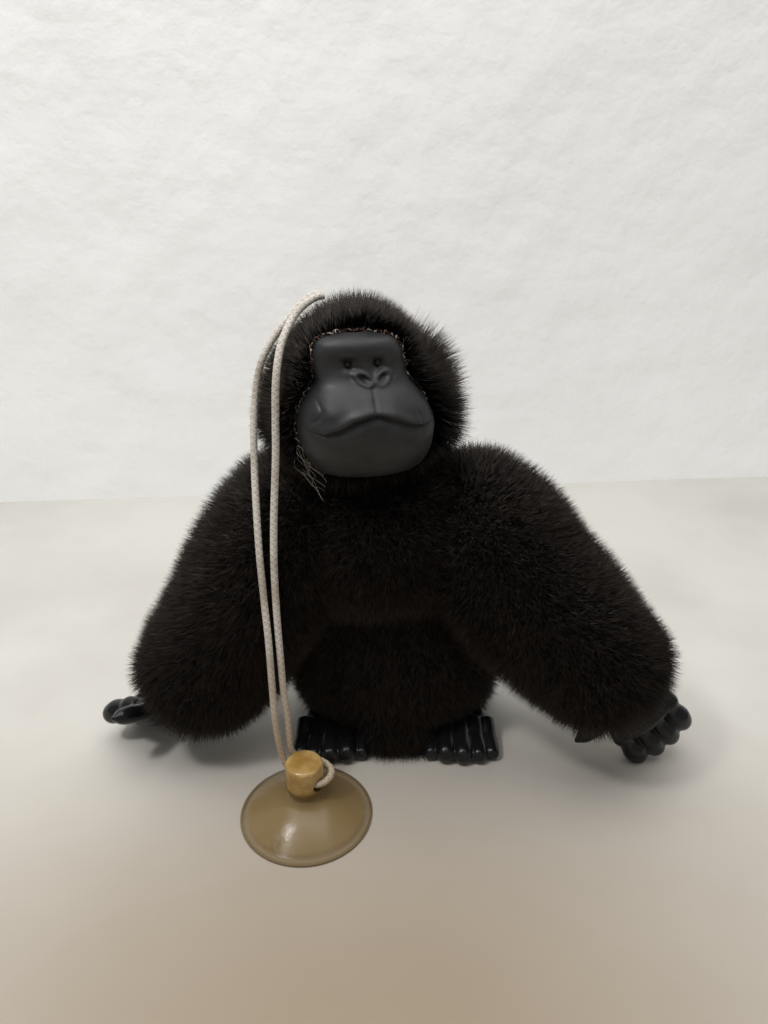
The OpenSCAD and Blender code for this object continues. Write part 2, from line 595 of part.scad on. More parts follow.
// Suction cup with its lug
module suction_cup() {
    r = cup_d / 2;
    neck_r = lug_d / 2 - 0.5;
    top = [for (t = [0 : 0.1 : 1]) [neck_r + 1 + (r - neck_r - 1) * t, rim_t + (cup_h - rim_t) * (1 - pow(t, 1.45))]];
    under = [for (t = [0 : 0.1 : 1]) [(r - rim_w) * (1 - t), (cup_h - cup_wall) * (1 - pow(1 - t, 2))]];
    color("#b08d55", 0.8) translate(cup_at) difference() {
        rotate_extrude($fn = 96) polygon(concat(
            [[0, lug_z], [lug_d / 2 - 0.8, lug_z], [lug_d / 2, lug_z - 0.8], [lug_d / 2, cup_h + 3],
             [neck_r, cup_h + 1.6], [neck_r, cup_h + 0.8]],
            top, [[r, 0]], under));
        translate([0, 0, lug_hole_z]) rotate([0, 90, lug_hole_turn]) cylinder(d = lug_hole_d, h = 40, center = true, $fn = 32);
    }
}

torso_cover();
torso_stuffing();
head_cover();
head_stuffing();
face_mask();
face_seam();
eye(LEFT);  // left_eye
eye(RIGHT);  // right_eye
cord_knot();
arm_cover(LEFT);  // left_arm_cover
arm_stuffing(LEFT);  // left_arm_stuffing
wrist_tie(LEFT);  // left_wrist_tie
hand(LEFT);  // left_hand
arm_cover(RIGHT);  // right_arm_cover
arm_stuffing(RIGHT);  // right_arm_stuffing
wrist_tie(RIGHT);  // right_wrist_tie
hand(RIGHT);  // right_hand
ankle_tie(LEFT);  // left_ankle_tie
foot(LEFT);  // left_foot
ankle_tie(RIGHT);  // right_ankle_tie
foot(RIGHT);  // right_foot
hang_cord();
suction_cup();
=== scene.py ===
"""A small seated plush gorilla with a moulded face, hands and feet, on a braided loop with a suction cup.

Every class below is one sub-assembly of the toy. Sizes are in millimetres in the toy's own frame, and the
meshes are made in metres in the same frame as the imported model.
"""

import logging
import math
from dataclasses import dataclass, field
from enum import Enum
from typing import Callable, Iterable, Sequence

import bpy
import numpy as np
from mathutils import Matrix, Vector


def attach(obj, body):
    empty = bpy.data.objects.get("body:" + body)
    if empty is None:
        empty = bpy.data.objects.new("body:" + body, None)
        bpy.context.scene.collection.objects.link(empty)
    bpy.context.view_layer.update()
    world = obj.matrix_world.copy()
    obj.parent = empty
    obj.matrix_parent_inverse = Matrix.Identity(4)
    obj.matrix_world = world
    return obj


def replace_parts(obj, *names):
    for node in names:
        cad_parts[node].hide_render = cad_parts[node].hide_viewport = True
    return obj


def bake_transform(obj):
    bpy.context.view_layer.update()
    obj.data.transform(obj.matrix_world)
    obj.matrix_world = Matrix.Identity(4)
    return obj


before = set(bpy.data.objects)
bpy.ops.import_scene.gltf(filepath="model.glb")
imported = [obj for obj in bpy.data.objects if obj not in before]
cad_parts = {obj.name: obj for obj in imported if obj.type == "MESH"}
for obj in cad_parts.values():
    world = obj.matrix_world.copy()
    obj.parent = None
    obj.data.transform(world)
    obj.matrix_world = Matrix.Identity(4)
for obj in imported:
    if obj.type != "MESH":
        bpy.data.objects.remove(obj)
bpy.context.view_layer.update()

LOG = logging.getLogger("gorilla")
MM = 0.001
# The raised mark on the cup: its turn about the cup's axis in degrees and its distance out in millimetres.
MARK_TURN = -119.5
MARK_OUT = 15.6
Rows = Sequence[Sequence[float]]
Colour = tuple[float, float, float]


class Side(Enum):
    """The gorilla's own left and right; its left is at +X."""

    LEFT = 1
    RIGHT = -1

    @property
    def word(self) -> str:
        """The side's name in piece and body names."""
        return self.name.lower()


class Slot(Enum):
    """The record's material slots."""

    FUR = "fur"
    VINYL = "vinyl"
    EYE = "eye"
    THREAD = "thread"
    CORD = "cord"
    CUP = "cup"


# ---------------------------------------------------------------- node graphs


class Value:
    """A number or vector that a node gives; it takes part in ordinary arithmetic."""

    def __init__(self, graph: "Graph", socket: bpy.types.NodeSocket) -> None:
        """Wraps one output socket of a graph."""
        self.graph = graph
        self.socket = socket

    def _with(self, operation: str, *terms: "Value | float") -> "Value":
        """Adds a Math node on these terms and returns its result."""
        return self.graph.node("ShaderNodeMath", {"operation": operation}, dict(enumerate(terms)))

    def __add__(self, other: "Value | float") -> "Value":
        """self + other."""
        return self._with("ADD", self, other)

    def __radd__(self, other: float) -> "Value":
        """other + self."""
        return self._with("ADD", other, self)

    def __sub__(self, other: "Value | float") -> "Value":
        """self - other."""
        return self._with("SUBTRACT", self, other)

    def __rsub__(self, other: float) -> "Value":
        """other - self."""
        return self._with("SUBTRACT", other, self)

    def __mul__(self, other: "Value | float") -> "Value":
        """self * other."""
        return self._with("MULTIPLY", self, other)

    def __rmul__(self, other: float) -> "Value":
        """other * self."""
        return self._with("MULTIPLY", other, self)

    def __pow__(self, other: "Value | float") -> "Value":
        """self to the power of other."""
        return self._with("POWER", self, other)

    def smooth(self, low: float, high: float) -> "Value":
        """A soft step from 0 below low to 1 above high."""
        return self.graph.node(
            "ShaderNodeMapRange",
            {"interpolation_type": "SMOOTHSTEP"},
            {"Value": self, "From Min": low, "From Max": high},
        )


class Graph:
    """A node tree that is filled by one method."""

    def __init__(self, tree: bpy.types.NodeTree) -> None:
        """Starts with an empty tree."""
        self.tree = tree
        tree.nodes.clear()

    def put(self, kind: str, settings: dict, sockets: dict) -> bpy.types.Node:
        """Adds a node.

        Args:
            kind: the node's type name.
            settings: its own settings, set first.
            sockets: values or links by socket name or number.

        Returns:
            The node itself.
        """
        made = self.tree.nodes.new(kind)
        for name, value in settings.items():
            setattr(made, name, value)
        for name, value in sockets.items():
            socket = made.inputs[name]
            if isinstance(value, Value):
                self.tree.links.new(value.socket, socket)
            else:
                socket.default_value = value
        return made

    def node(self, kind: str, settings: dict, sockets: dict, give: str | int = 0) -> Value:
        """Adds a node and returns one of its outputs, by name or number."""
        return Value(self, self.put(kind, settings, sockets).outputs[give])

    def mix(self, share: Value | float, first: Value | Colour, second: Value | Colour) -> Value:
        """Mixes two colours; share is how much of the second shows."""
        made = self.put("ShaderNodeMix", {"data_type": "RGBA"}, {})
        for socket, value in ((made.inputs[0], share), (made.inputs[6], first), (made.inputs[7], second)):
            if isinstance(value, Value):
                self.tree.links.new(value.socket, socket)
            else:
                socket.default_value = (*value, 1.0) if isinstance(value, tuple) else value
        return Value(self, made.outputs[2])

    def place(self) -> Value:
        """The point on the piece, in metres in the toy's own frame."""
        return self.node("ShaderNodeTexCoord", {}, {}, "Object")

    def parts(self, vector: Value) -> tuple[Value, Value, Value]:
        """The three numbers of a vector."""
        split = self.put("ShaderNodeSeparateXYZ", {}, {0: vector})
        return tuple(Value(self, socket) for socket in split.outputs)

    def vector(self, first: Value | float, second: Value | float, third: Value | float) -> Value:
        """A vector of three numbers."""
        return self.node("ShaderNodeCombineXYZ", {}, {0: first, 1: second, 2: third})

    def noise(self, per_metre: float, detail: float = 2.0) -> Value:
        """Cloudy noise from 0 to 1 with this many features in a metre."""
        return self.node(
            "ShaderNodeTexNoise",
            {},
            {"Vector": self.place(), "Scale": per_metre, "Detail": detail, "Roughness": 0.55},
        )

    def bump(self, height: Value, depth: float) -> Value:
        """A bumped normal of this depth in metres."""
        return self.node("ShaderNodeBump", {}, {"Height": height, "Distance": depth, "Strength": 1.0})


def shaded(name: str, steady: dict, make: Callable[[Graph], dict]) -> bpy.types.Material:
    """A material around one Principled shader.

    Args:
        name: the finish's name.
        steady: sockets that are the same all over.
        make: gives the sockets that vary, from the material's graph.

    Returns:
        The material.
    """
    material = bpy.data.materials.new(name)
    material.use_nodes = True
    graph = Graph(material.node_tree)
    shader = graph.node("ShaderNodeBsdfPrincipled", {}, {**steady, **make(graph)})
    graph.put("ShaderNodeOutputMaterial", {}, {"Surface": shader})
    return material


# ---------------------------------------------------------------- finishes


@dataclass(frozen=True)
class FurFinish:
    """Pile fur whose hairs run from a dark root to a brown-grey tip."""

    name: str = "dark_fur"
    root: Colour = (0.006, 0.005, 0.0045)
    shaft: Colour = (0.0065, 0.0054, 0.005)
    dark_tip: Colour = (0.0095, 0.0075, 0.0068)
    light_tip: Colour = (0.33, 0.235, 0.17)

    def build(self) -> bpy.types.Material:
        """Makes the material, which reads each hair's own map: shade across, length up."""

        def vary(graph: Graph) -> dict:
            """Colour of a hair by its shade and by the place along it."""
            shade, along, _ = graph.parts(graph.node("ShaderNodeUVMap", {"uv_map": "OFBake"}, {}))
            dark = graph.mix(along.smooth(0.25, 0.8), self.root, self.shaft)
            tip = graph.mix(shade**1.6, self.dark_tip, self.light_tip)
            return {"Base Color": graph.mix(along.smooth(0.5, 1.0), dark, tip)}

        return shaded(self.name, {"Roughness": 0.5, "Specular IOR Level": 0.22}, vary)


@dataclass(frozen=True)
class BackingFinish:
    """Knitted backing under the pile."""

    name: str = "fur_backing"
    dark: Colour = (0.005, 0.0042, 0.004)
    worn: Colour = (0.013, 0.010, 0.009)

    def build(self) -> bpy.types.Material:
        """Makes the material with fine knit bumps."""

        def vary(graph: Graph) -> dict:
            """Blotchy dark cloth with a fine knit."""
            knit = graph.noise(1600, 3)
            return {
                "Base Color": graph.mix(graph.noise(220).smooth(0.3, 0.7), self.dark, self.worn),
                "Normal": graph.bump(knit, 0.0002),
            }

        return shaded(self.name, {"Roughness": 0.9, "Specular IOR Level": 0.1}, vary)


@dataclass(frozen=True)
class VinylFinish:
    """Moulded soft vinyl: nearly black, with faint bloom and a fine skin."""

    name: str
    body: Colour
    bloom: Colour
    dullest: float
    glossiest: float
    skin_depth: float
    shine: float

    def build(self) -> bpy.types.Material:
        """Makes the material."""

        def vary(graph: Graph) -> dict:
            """Bloomed, slightly uneven moulded skin."""
            cloud = graph.noise(110, 4)
            speck = graph.noise(900, 2).smooth(0.66, 0.8)
            skin = graph.noise(2600, 3) * 0.35 + graph.noise(420, 3)
            rubbed = graph.noise(160, 3).smooth(0.3, 0.75)
            return {
                "Base Color": graph.mix(cloud.smooth(0.35, 0.8) * 0.8 + speck * 0.2, self.body, self.bloom),
                "Roughness": self.dullest - rubbed * (self.dullest - self.glossiest),
                "Normal": graph.bump(skin, self.skin_depth),
            }

        return shaded(self.name, {"Specular IOR Level": self.shine}, vary)


@dataclass(frozen=True)
class EyeFinish:
    """Glossy black bead."""

    name: str = "bead_black"
    body: Colour = (0.003, 0.003, 0.0035)
    glint: Colour = (0.012, 0.011, 0.012)

    def build(self) -> bpy.types.Material:
        """Makes the material."""

        def vary(graph: Graph) -> dict:
            """Deep black with a trace of cloud in it."""
            cloud = graph.noise(700, 3)
            return {"Base Color": graph.mix(cloud, self.body, self.glint), "Roughness": cloud * 0.06 + 0.06}

        return shaded(self.name, {"Specular IOR Level": 0.35}, vary)


@dataclass(frozen=True)
class ThreadFinish:
    """Cotton ends along the face's edge, from reddish brown to off-white."""

    name: str = "seam_cotton"
    red: Colour = (0.10, 0.052, 0.04)
    beige: Colour = (0.3, 0.22, 0.17)
    white: Colour = (0.66, 0.62, 0.57)

    def build(self) -> bpy.types.Material:
        """Makes the material, which reads each thread's own shade."""

        def vary(graph: Graph) -> dict:
            """Each stitch has one colour, with fine fibre over it."""
            shade = graph.node("ShaderNodeAttribute", {"attribute_name": "shade"}, {}, "Fac")
            warm = graph.mix(shade.smooth(0.3, 0.6), self.red, self.beige)
            fibre = graph.noise(5000, 2)
            return {
                "Base Color": graph.mix(shade.smooth(0.68, 0.88), warm, self.white),
                "Normal": graph.bump(fibre, 0.00005),
            }

        return shaded(self.name, {"Roughness": 0.85, "Specular IOR Level": 0.2}, vary)


@dataclass(frozen=True)
class CordFinish:
    """Braided cream cord, with dark grey painted shade in the valleys of its plait."""

    name: str = "cream_braid"
    # dark grey painted shade for the plait's valleys
    valley: Colour = (0.20, 0.175, 0.15)
    crest: Colour = (0.73, 0.68, 0.61)
    soiled: Colour = (0.52, 0.45, 0.37)
    # darker brown for the loop's lowest part
    stained: Colour = (0.42, 0.31, 0.19)

    def build(self) -> bpy.types.Material:
        """Makes the material, which reads the plait's height."""

        def vary(graph: Graph) -> dict:
            """Light crests, painted shade in the valleys, patches of handling and a darker brown low end."""
            plait = graph.node("ShaderNodeAttribute", {"attribute_name": "plait"}, {}, "Fac")
            # the loop's lowest part, below about 6 cm, is mixed towards a darker brown
            low = 1 - graph.parts(graph.place())[2].smooth(0.02, 0.06)
            worn = graph.mix(graph.noise(70, 3).smooth(0.42, 0.72), self.crest, self.soiled)
            worn = graph.mix(low * 0.75, worn, self.stained)
            fibre = graph.noise(6500, 2)
            return {
                # painted shade: the valleys of the plait are coloured dark grey
                "Base Color": graph.mix(plait.smooth(0.12, 0.7), self.valley, worn),
                "Normal": graph.bump(fibre, 0.00004),
            }

        return shaded(self.name, {"Roughness": 0.8, "Specular IOR Level": 0.25}, vary)


@dataclass(frozen=True)
class CupFinish:
    """Clear soft plastic that has yellowed, deepest in the lug."""

    name: str = "aged_clear_plastic"
    film: Colour = (0.35, 0.235, 0.095)
    edge: Colour = (0.2, 0.145, 0.07)
    thick: Colour = (0.34, 0.19, 0.045)
    streak: Colour = (0.58, 0.40, 0.16)
    foot: Colour = (0.17, 0.105, 0.035)
    # painted shade on the lug's lower side and narrow foot
    lug_from: float = 0.0105
    middle: tuple[float, float] = (-0.0276, -0.0496)
    mark_turn: float = math.radians(MARK_TURN)
    mark_out: float = MARK_OUT * MM

    def build(self) -> bpy.types.Material:
        """Makes the material: see-through in the dome, cloudy amber in the lug."""

        def vary(graph: Graph) -> dict:
            """Amber by height, with mottles in the thick lug, painted shade on the lug's lower side and foot,
            and a dark outer edge.
            """
            across, deep, height = graph.parts(graph.place())
            out = ((across - self.middle[0]) ** 2.0 + (deep - self.middle[1]) ** 2.0) ** 0.5
            lug = height.smooth(self.lug_from - 0.002, self.lug_from + 0.001)
            edge = out.smooth(0.0190, 0.0197)
            clear = out.smooth(0.0172, 0.0182) * (1 - edge)
            mottle = graph.noise(150, 4).smooth(0.3, 0.72)
            cloudy = graph.mix(mottle, self.thick, self.streak)
            # painted shade: the lug is mixed towards dark amber below about 13 mm, on its lower side and foot
            amber = graph.mix(height.smooth(0.0115, 0.0135), self.foot, cloudy)
            east, north = math.cos(self.mark_turn), math.sin(self.mark_turn)
            ahead = (across - self.middle[0]) * east + (deep - self.middle[1]) * north - self.mark_out
            aside = (deep - self.middle[1]) * east - (across - self.middle[0]) * north
            within_length = 1 - ((ahead**2.0) ** 0.5).smooth(0.0012, 0.0017)
            within_width = 1 - ((aside**2.0) ** 0.5).smooth(0.0010, 0.0014)
            mark = within_length * within_width
            dome = graph.mix(edge, graph.mix(graph.noise(70, 3) * 0.3, self.film, self.edge), self.edge)
            # painted shade: the moulding mark is mixed towards the dark edge amber and made more opaque,
            # standing in for the shade in its recess
            dome = graph.mix(mark * 0.75, dome, self.edge)
            return {
                "Base Color": graph.mix(lug, dome, amber),
                "Alpha": 0.56 + lug * 0.4 + edge * 0.3 - clear * 0.25 + mark * 0.3,
                "Roughness": 0.16 + graph.noise(120, 3) * 0.14,
                "Normal": graph.bump(graph.noise(300, 2), 0.0001),
            }

        return shaded(self.name, {"IOR": 1.5, "Specular IOR Level": 0.5}, vary)


FUR = FurFinish()
BACKING = BackingFinish()
FACE_VINYL = VinylFinish(
    name="face_vinyl",
    body=(0.017, 0.0175, 0.0185),
    bloom=(0.036, 0.0365, 0.038),
    dullest=0.55,
    glossiest=0.41,
    skin_depth=0.00005,
    shine=0.42,
)
LIMB_VINYL = VinylFinish(
    name="limb_vinyl",
    body=(0.0065, 0.0068, 0.0076),
    bloom=(0.014, 0.0145, 0.0165),
    dullest=0.3,
    glossiest=0.17,
    skin_depth=0.00003,
    shine=0.34,
)
EYE = EyeFinish()
THREAD = ThreadFinish()
CORD = CordFinish()
CUP = CupFinish()


class Wardrobe:
    """Makes each finish's material once."""

    def __init__(self) -> None:
        """Starts with no material made."""
        self.made: dict[str, bpy.types.Material] = {}

    def get(self, finish) -> bpy.types.Material:
        """The finish's material, made on first use."""
        if finish.name not in self.made:
            self.made[finish.name] = finish.build()
        return self.made[finish.name]


WARDROBE = Wardrobe()


# ---------------------------------------------------------------- shape tools


def unit(vector: np.ndarray) -> np.ndarray:
    """The vectors along the last axis, each at length 1."""
    return vector / np.maximum(np.linalg.norm(vector, axis=-1, keepdims=True), 1e-12)


def turn(axis: str, degrees: float) -> np.ndarray:
    """A 4x4 rotation about X, Y or Z."""
    return np.array(Matrix.Rotation(math.radians(degrees), 4, axis))


def shift(x: float, y: float, z: float) -> np.ndarray:
    """A 4x4 move."""
    return np.array(Matrix.Translation((x, y, z)))


def mirror(side: Side) -> np.ndarray:
    """A 4x4 that mirrors the left side's shape to this side."""
    return np.diag([float(side.value), 1.0, 1.0, 1.0])


def moved(matrix: np.ndarray, points: np.ndarray) -> np.ndarray:
    """The points after a 4x4."""
    return points @ matrix[:3, :3].T + matrix[:3, 3]


def blend_rows(rows: Rows, t: float) -> np.ndarray:
    """A smooth curve through a table's rows, at place t from 0 to the last row."""
    rows = np.asarray(rows, float)
    i = min(int(t), len(rows) - 2)
    f = t - i
    a, b, c, d = rows[max(i - 1, 0)], rows[i], rows[i + 1], rows[min(i + 2, len(rows) - 1)]
    return b + (c - a) * f / 2 + (2 * a - 5 * b + 4 * c - d) * f**2 / 2 + (3 * b - a - 3 * c + d) * f**3 / 2


def smooth_rows(rows: Rows, steps: int) -> np.ndarray:
    """The table's smooth curve at steps + 1 places."""
    return np.array([blend_rows(rows, k * (len(rows) - 1) / steps) for k in range(steps + 1)])


def body_rings(rows: Rows, steps: int, sides: int, grow: float, square: float) -> np.ndarray:
    """Rings round a body form.

    Args:
        rows: [height, half width, front, back, lean] in mm.
        steps: number of gaps between rings.
        sides: points in a ring.
        grow: added to each radius.
        square: 2 for an ellipse, more for a squarer ring.

    Returns:
        An array of rings by points by 3.
    """
    rings = []
    for z, half, front, back, lean in smooth_rows(rows, steps):
        a = np.arange(sides) * 2 * math.pi / sides
        c, s = np.cos(a), np.sin(a)
        depth = np.where(s < 0, front, back) + grow
        x = max(half + grow, 0.5) * np.sign(c) * np.abs(c) ** (2 / square) - lean
        y = np.maximum(depth, 0.5) * np.sign(s) * np.abs(s) ** (2 / square)
        rings.append(np.stack([x, y, np.full(sides, z)], 1))
    return np.array(rings)


def tube_rings(
    path: np.ndarray, radii: Sequence[float], sides: int, across: Sequence[float], flat: float = 1.0
) -> np.ndarray:
    """Rings round a path, with a side vector carried along it without twist."""
    path = np.asarray(path, float)
    side = np.asarray(across, float)
    a = np.arange(sides) * 2 * math.pi / sides
    rings = []
    for i, point in enumerate(path):
        t = unit(path[min(i + 1, len(path) - 1)] - path[max(i - 1, 0)])
        side = unit(side - t * (side @ t))
        other = np.cross(t, side)
        rings.append(point + radii[i] * (np.cos(a)[:, None] * side + flat * np.sin(a)[:, None] * other))
    return np.array(rings)


class Skin:
    """Points and faces of a mesh, in millimetres, before it becomes an object."""

    def __init__(self) -> None:
        """Starts empty."""
        self.points: list[np.ndarray] = []
        self.faces: list[tuple[int, ...]] = []
        self.count = 0

    def add(self, points: np.ndarray, faces: Iterable[Sequence[int]]) -> "Skin":
        """Adds points and the faces that join them."""
        self.faces += [tuple(i + self.count for i in f) for f in faces]
        self.points.append(np.asarray(points, float).reshape(-1, 3))
        self.count += len(self.points[-1])
        return self

    def loft(self, rings: np.ndarray) -> "Skin":
        """Adds a closed skin over rings, with a fan at each end."""
        m, n = rings.shape[:2]
        faces = [
            (j * n + k, j * n + (k + 1) % n, (j + 1) * n + (k + 1) % n, (j + 1) * n + k)
            for j in range(m - 1)
            for k in range(n)
        ]
        faces += [((k + 1) % n, k, m * n) for k in range(n)]
        faces += [((m - 1) * n + k, (m - 1) * n + (k + 1) % n, m * n + 1) for k in range(n)]
        points = np.concatenate([rings.reshape(-1, 3), [rings[0].mean(0)], [rings[-1].mean(0)]])
        return self.add(points, faces)

    def placed(self, matrix: np.ndarray) -> "Skin":
        """The same skin after a 4x4, turned the right way round if that mirrors it."""
        result = Skin()
        flip = np.linalg.det(matrix[:3, :3]) < 0
        faces = [f[::-1] for f in self.faces] if flip else self.faces
        return result.add(moved(matrix, np.concatenate(self.points)), faces)

    def object(self, name: str) -> bpy.types.Object:
        """Makes a smooth-shaded object in metres."""
        mesh = bpy.data.meshes.new(name)
        mesh.from_pydata((np.concatenate(self.points) * MM).tolist(), [], self.faces)
        mesh.validate()
        mesh.polygons.foreach_set("use_smooth", [True] * len(mesh.polygons))
        mesh.update()
        made = bpy.data.objects.new(name, mesh)
        bpy.context.scene.collection.objects.link(made)
        return made


def apply_modifiers(piece: bpy.types.Object) -> None:
    """Turns a piece's modifiers into its own mesh."""
    graph = bpy.context.evaluated_depsgraph_get()
    shaped = piece.evaluated_get(graph)
    fresh = bpy.data.meshes.new_from_object(shaped, preserve_all_data_layers=True, depsgraph=graph)
    piece.modifiers.clear()
    piece.data = fresh


def points_of(piece: bpy.types.Object) -> np.ndarray:
    """The piece's points in millimetres."""
    flat = np.zeros(len(piece.data.vertices) * 3)
    piece.data.vertices.foreach_get("co", flat)
    return flat.reshape(-1, 3) / MM


def normals_of(piece: bpy.types.Object) -> np.ndarray:
    """The piece's normals at its points."""
    flat = np.zeros(len(piece.data.vertices) * 3, np.float32)
    piece.data.vertex_normals.foreach_get("vector", flat)
    return flat.reshape(-1, 3).astype(float)


def set_points(piece: bpy.types.Object, points: np.ndarray) -> None:
    """Moves the piece's points to these, in millimetres."""
    piece.data.vertices.foreach_set("co", (points * MM).ravel())
    piece.data.update()


def set_attribute(piece: bpy.types.Object, name: str, values: np.ndarray) -> None:
    """Stores a number or a vector on each point."""
    vector = values.ndim == 2
    held = piece.data.attributes.new(name, "FLOAT_VECTOR" if vector else "FLOAT", "POINT")
    held.data.foreach_set("vector" if vector else "value", values.astype(np.float32).ravel())


def lumps(points: np.ndarray, size: float, seed: int) -> np.ndarray:
    """Smooth noise from -1 to 1 whose lumps are about size mm across."""
    rng = np.random.default_rng(seed)
    total = np.zeros(len(points))
    for _ in range(9):
        wave = unit(rng.normal(size=3)) * (2 * math.pi / size) * rng.uniform(0.35, 0.75)
        total += np.sin(points @ wave + rng.uniform(0, 2 * math.pi))
    return np.tanh(total / 3)


def remeshed(piece: bpy.types.Object, voxel: float, passes: int) -> None:
    """Fuses a piece's lobes into one moulded skin.

    Args:
        piece: the object, made of closed lobes that run into each other.
        voxel: size of the grid in mm.
        passes: how often the result is smoothed.
    """
    grid = piece.modifiers.new("fuse", "REMESH")
    grid.mode = "VOXEL"
    grid.voxel_size = voxel * MM
    grid.use_smooth_shade = True
    soften = piece.modifiers.new("soften", "SMOOTH")
    soften.factor = 0.5
    soften.iterations = passes
    apply_modifiers(piece)
    piece.data.polygons.foreach_set("use_smooth", [True] * len(piece.data.polygons))


def to_line(x: np.ndarray, z: np.ndarray, line: Rows) -> tuple[np.ndarray, np.ndarray]:
    """Distance from each point to a drawn line, and which side of it the point is on.

    Args:
        x: across, in mm.
        z: up, in mm.
        line: the line's points.

    Returns:
        The distances, and +1 above or -1 below the nearest stretch.
    """
    best = np.full(x.shape, 1e9)
    above = np.ones(x.shape)
    for (x0, z0), (x1, z1) in zip(line[:-1], line[1:]):
        dx, dz = x1 - x0, z1 - z0
        t = np.clip(((x - x0) * dx + (z - z0) * dz) / (dx * dx + dz * dz), 0, 1)
        distance = np.hypot(x - x0 - t * dx, z - z0 - t * dz)
        nearer = distance < best
        best = np.where(nearer, distance, best)
        above = np.where(nearer, np.sign((z - z0) * dx - (x - x0) * dz) * (1 if dx >= 0 else -1), above)
    return best, above


def dressed(piece: bpy.types.Object, finish, body: str) -> bpy.types.Object:
    """Gives a piece its finish and lets it ride on its body."""
    piece.data.materials.clear()
    piece.data.materials.append(WARDROBE.get(finish))
    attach(piece, body)
    LOG.info("%s on %s: %d faces", piece.name, body, len(piece.data.polygons))
    return piece


# ---------------------------------------------------------------- pile fur


LOWEST_HAIR = 0.0003
HAIR_MARKS = ("shade", "along", "across", "cover", "pile", "comb")


def hair_shape() -> bpy.types.Object:
    """One closed, slightly bowed hair, one metre long and about one metre wide, that the fur tree repeats."""
    skin = Skin()
    corners = np.array([[0.0, -0.5, 0.0], [0.0, 0.5, 0.0], [1.1, 0.0, 0.45], [-0.4, 0.0, 1.0]]) / MM
    skin.add(corners, [(0, 2, 1), (0, 1, 3), (1, 2, 3), (2, 0, 3)])
    hair = skin.object("hair_shape")
    set_attribute(hair, "along", np.array([0.0, 0.0, 0.45, 1.0]))
    set_attribute(hair, "across", np.array([0.0, 1.0, 0.5, 0.5]))
    return hair


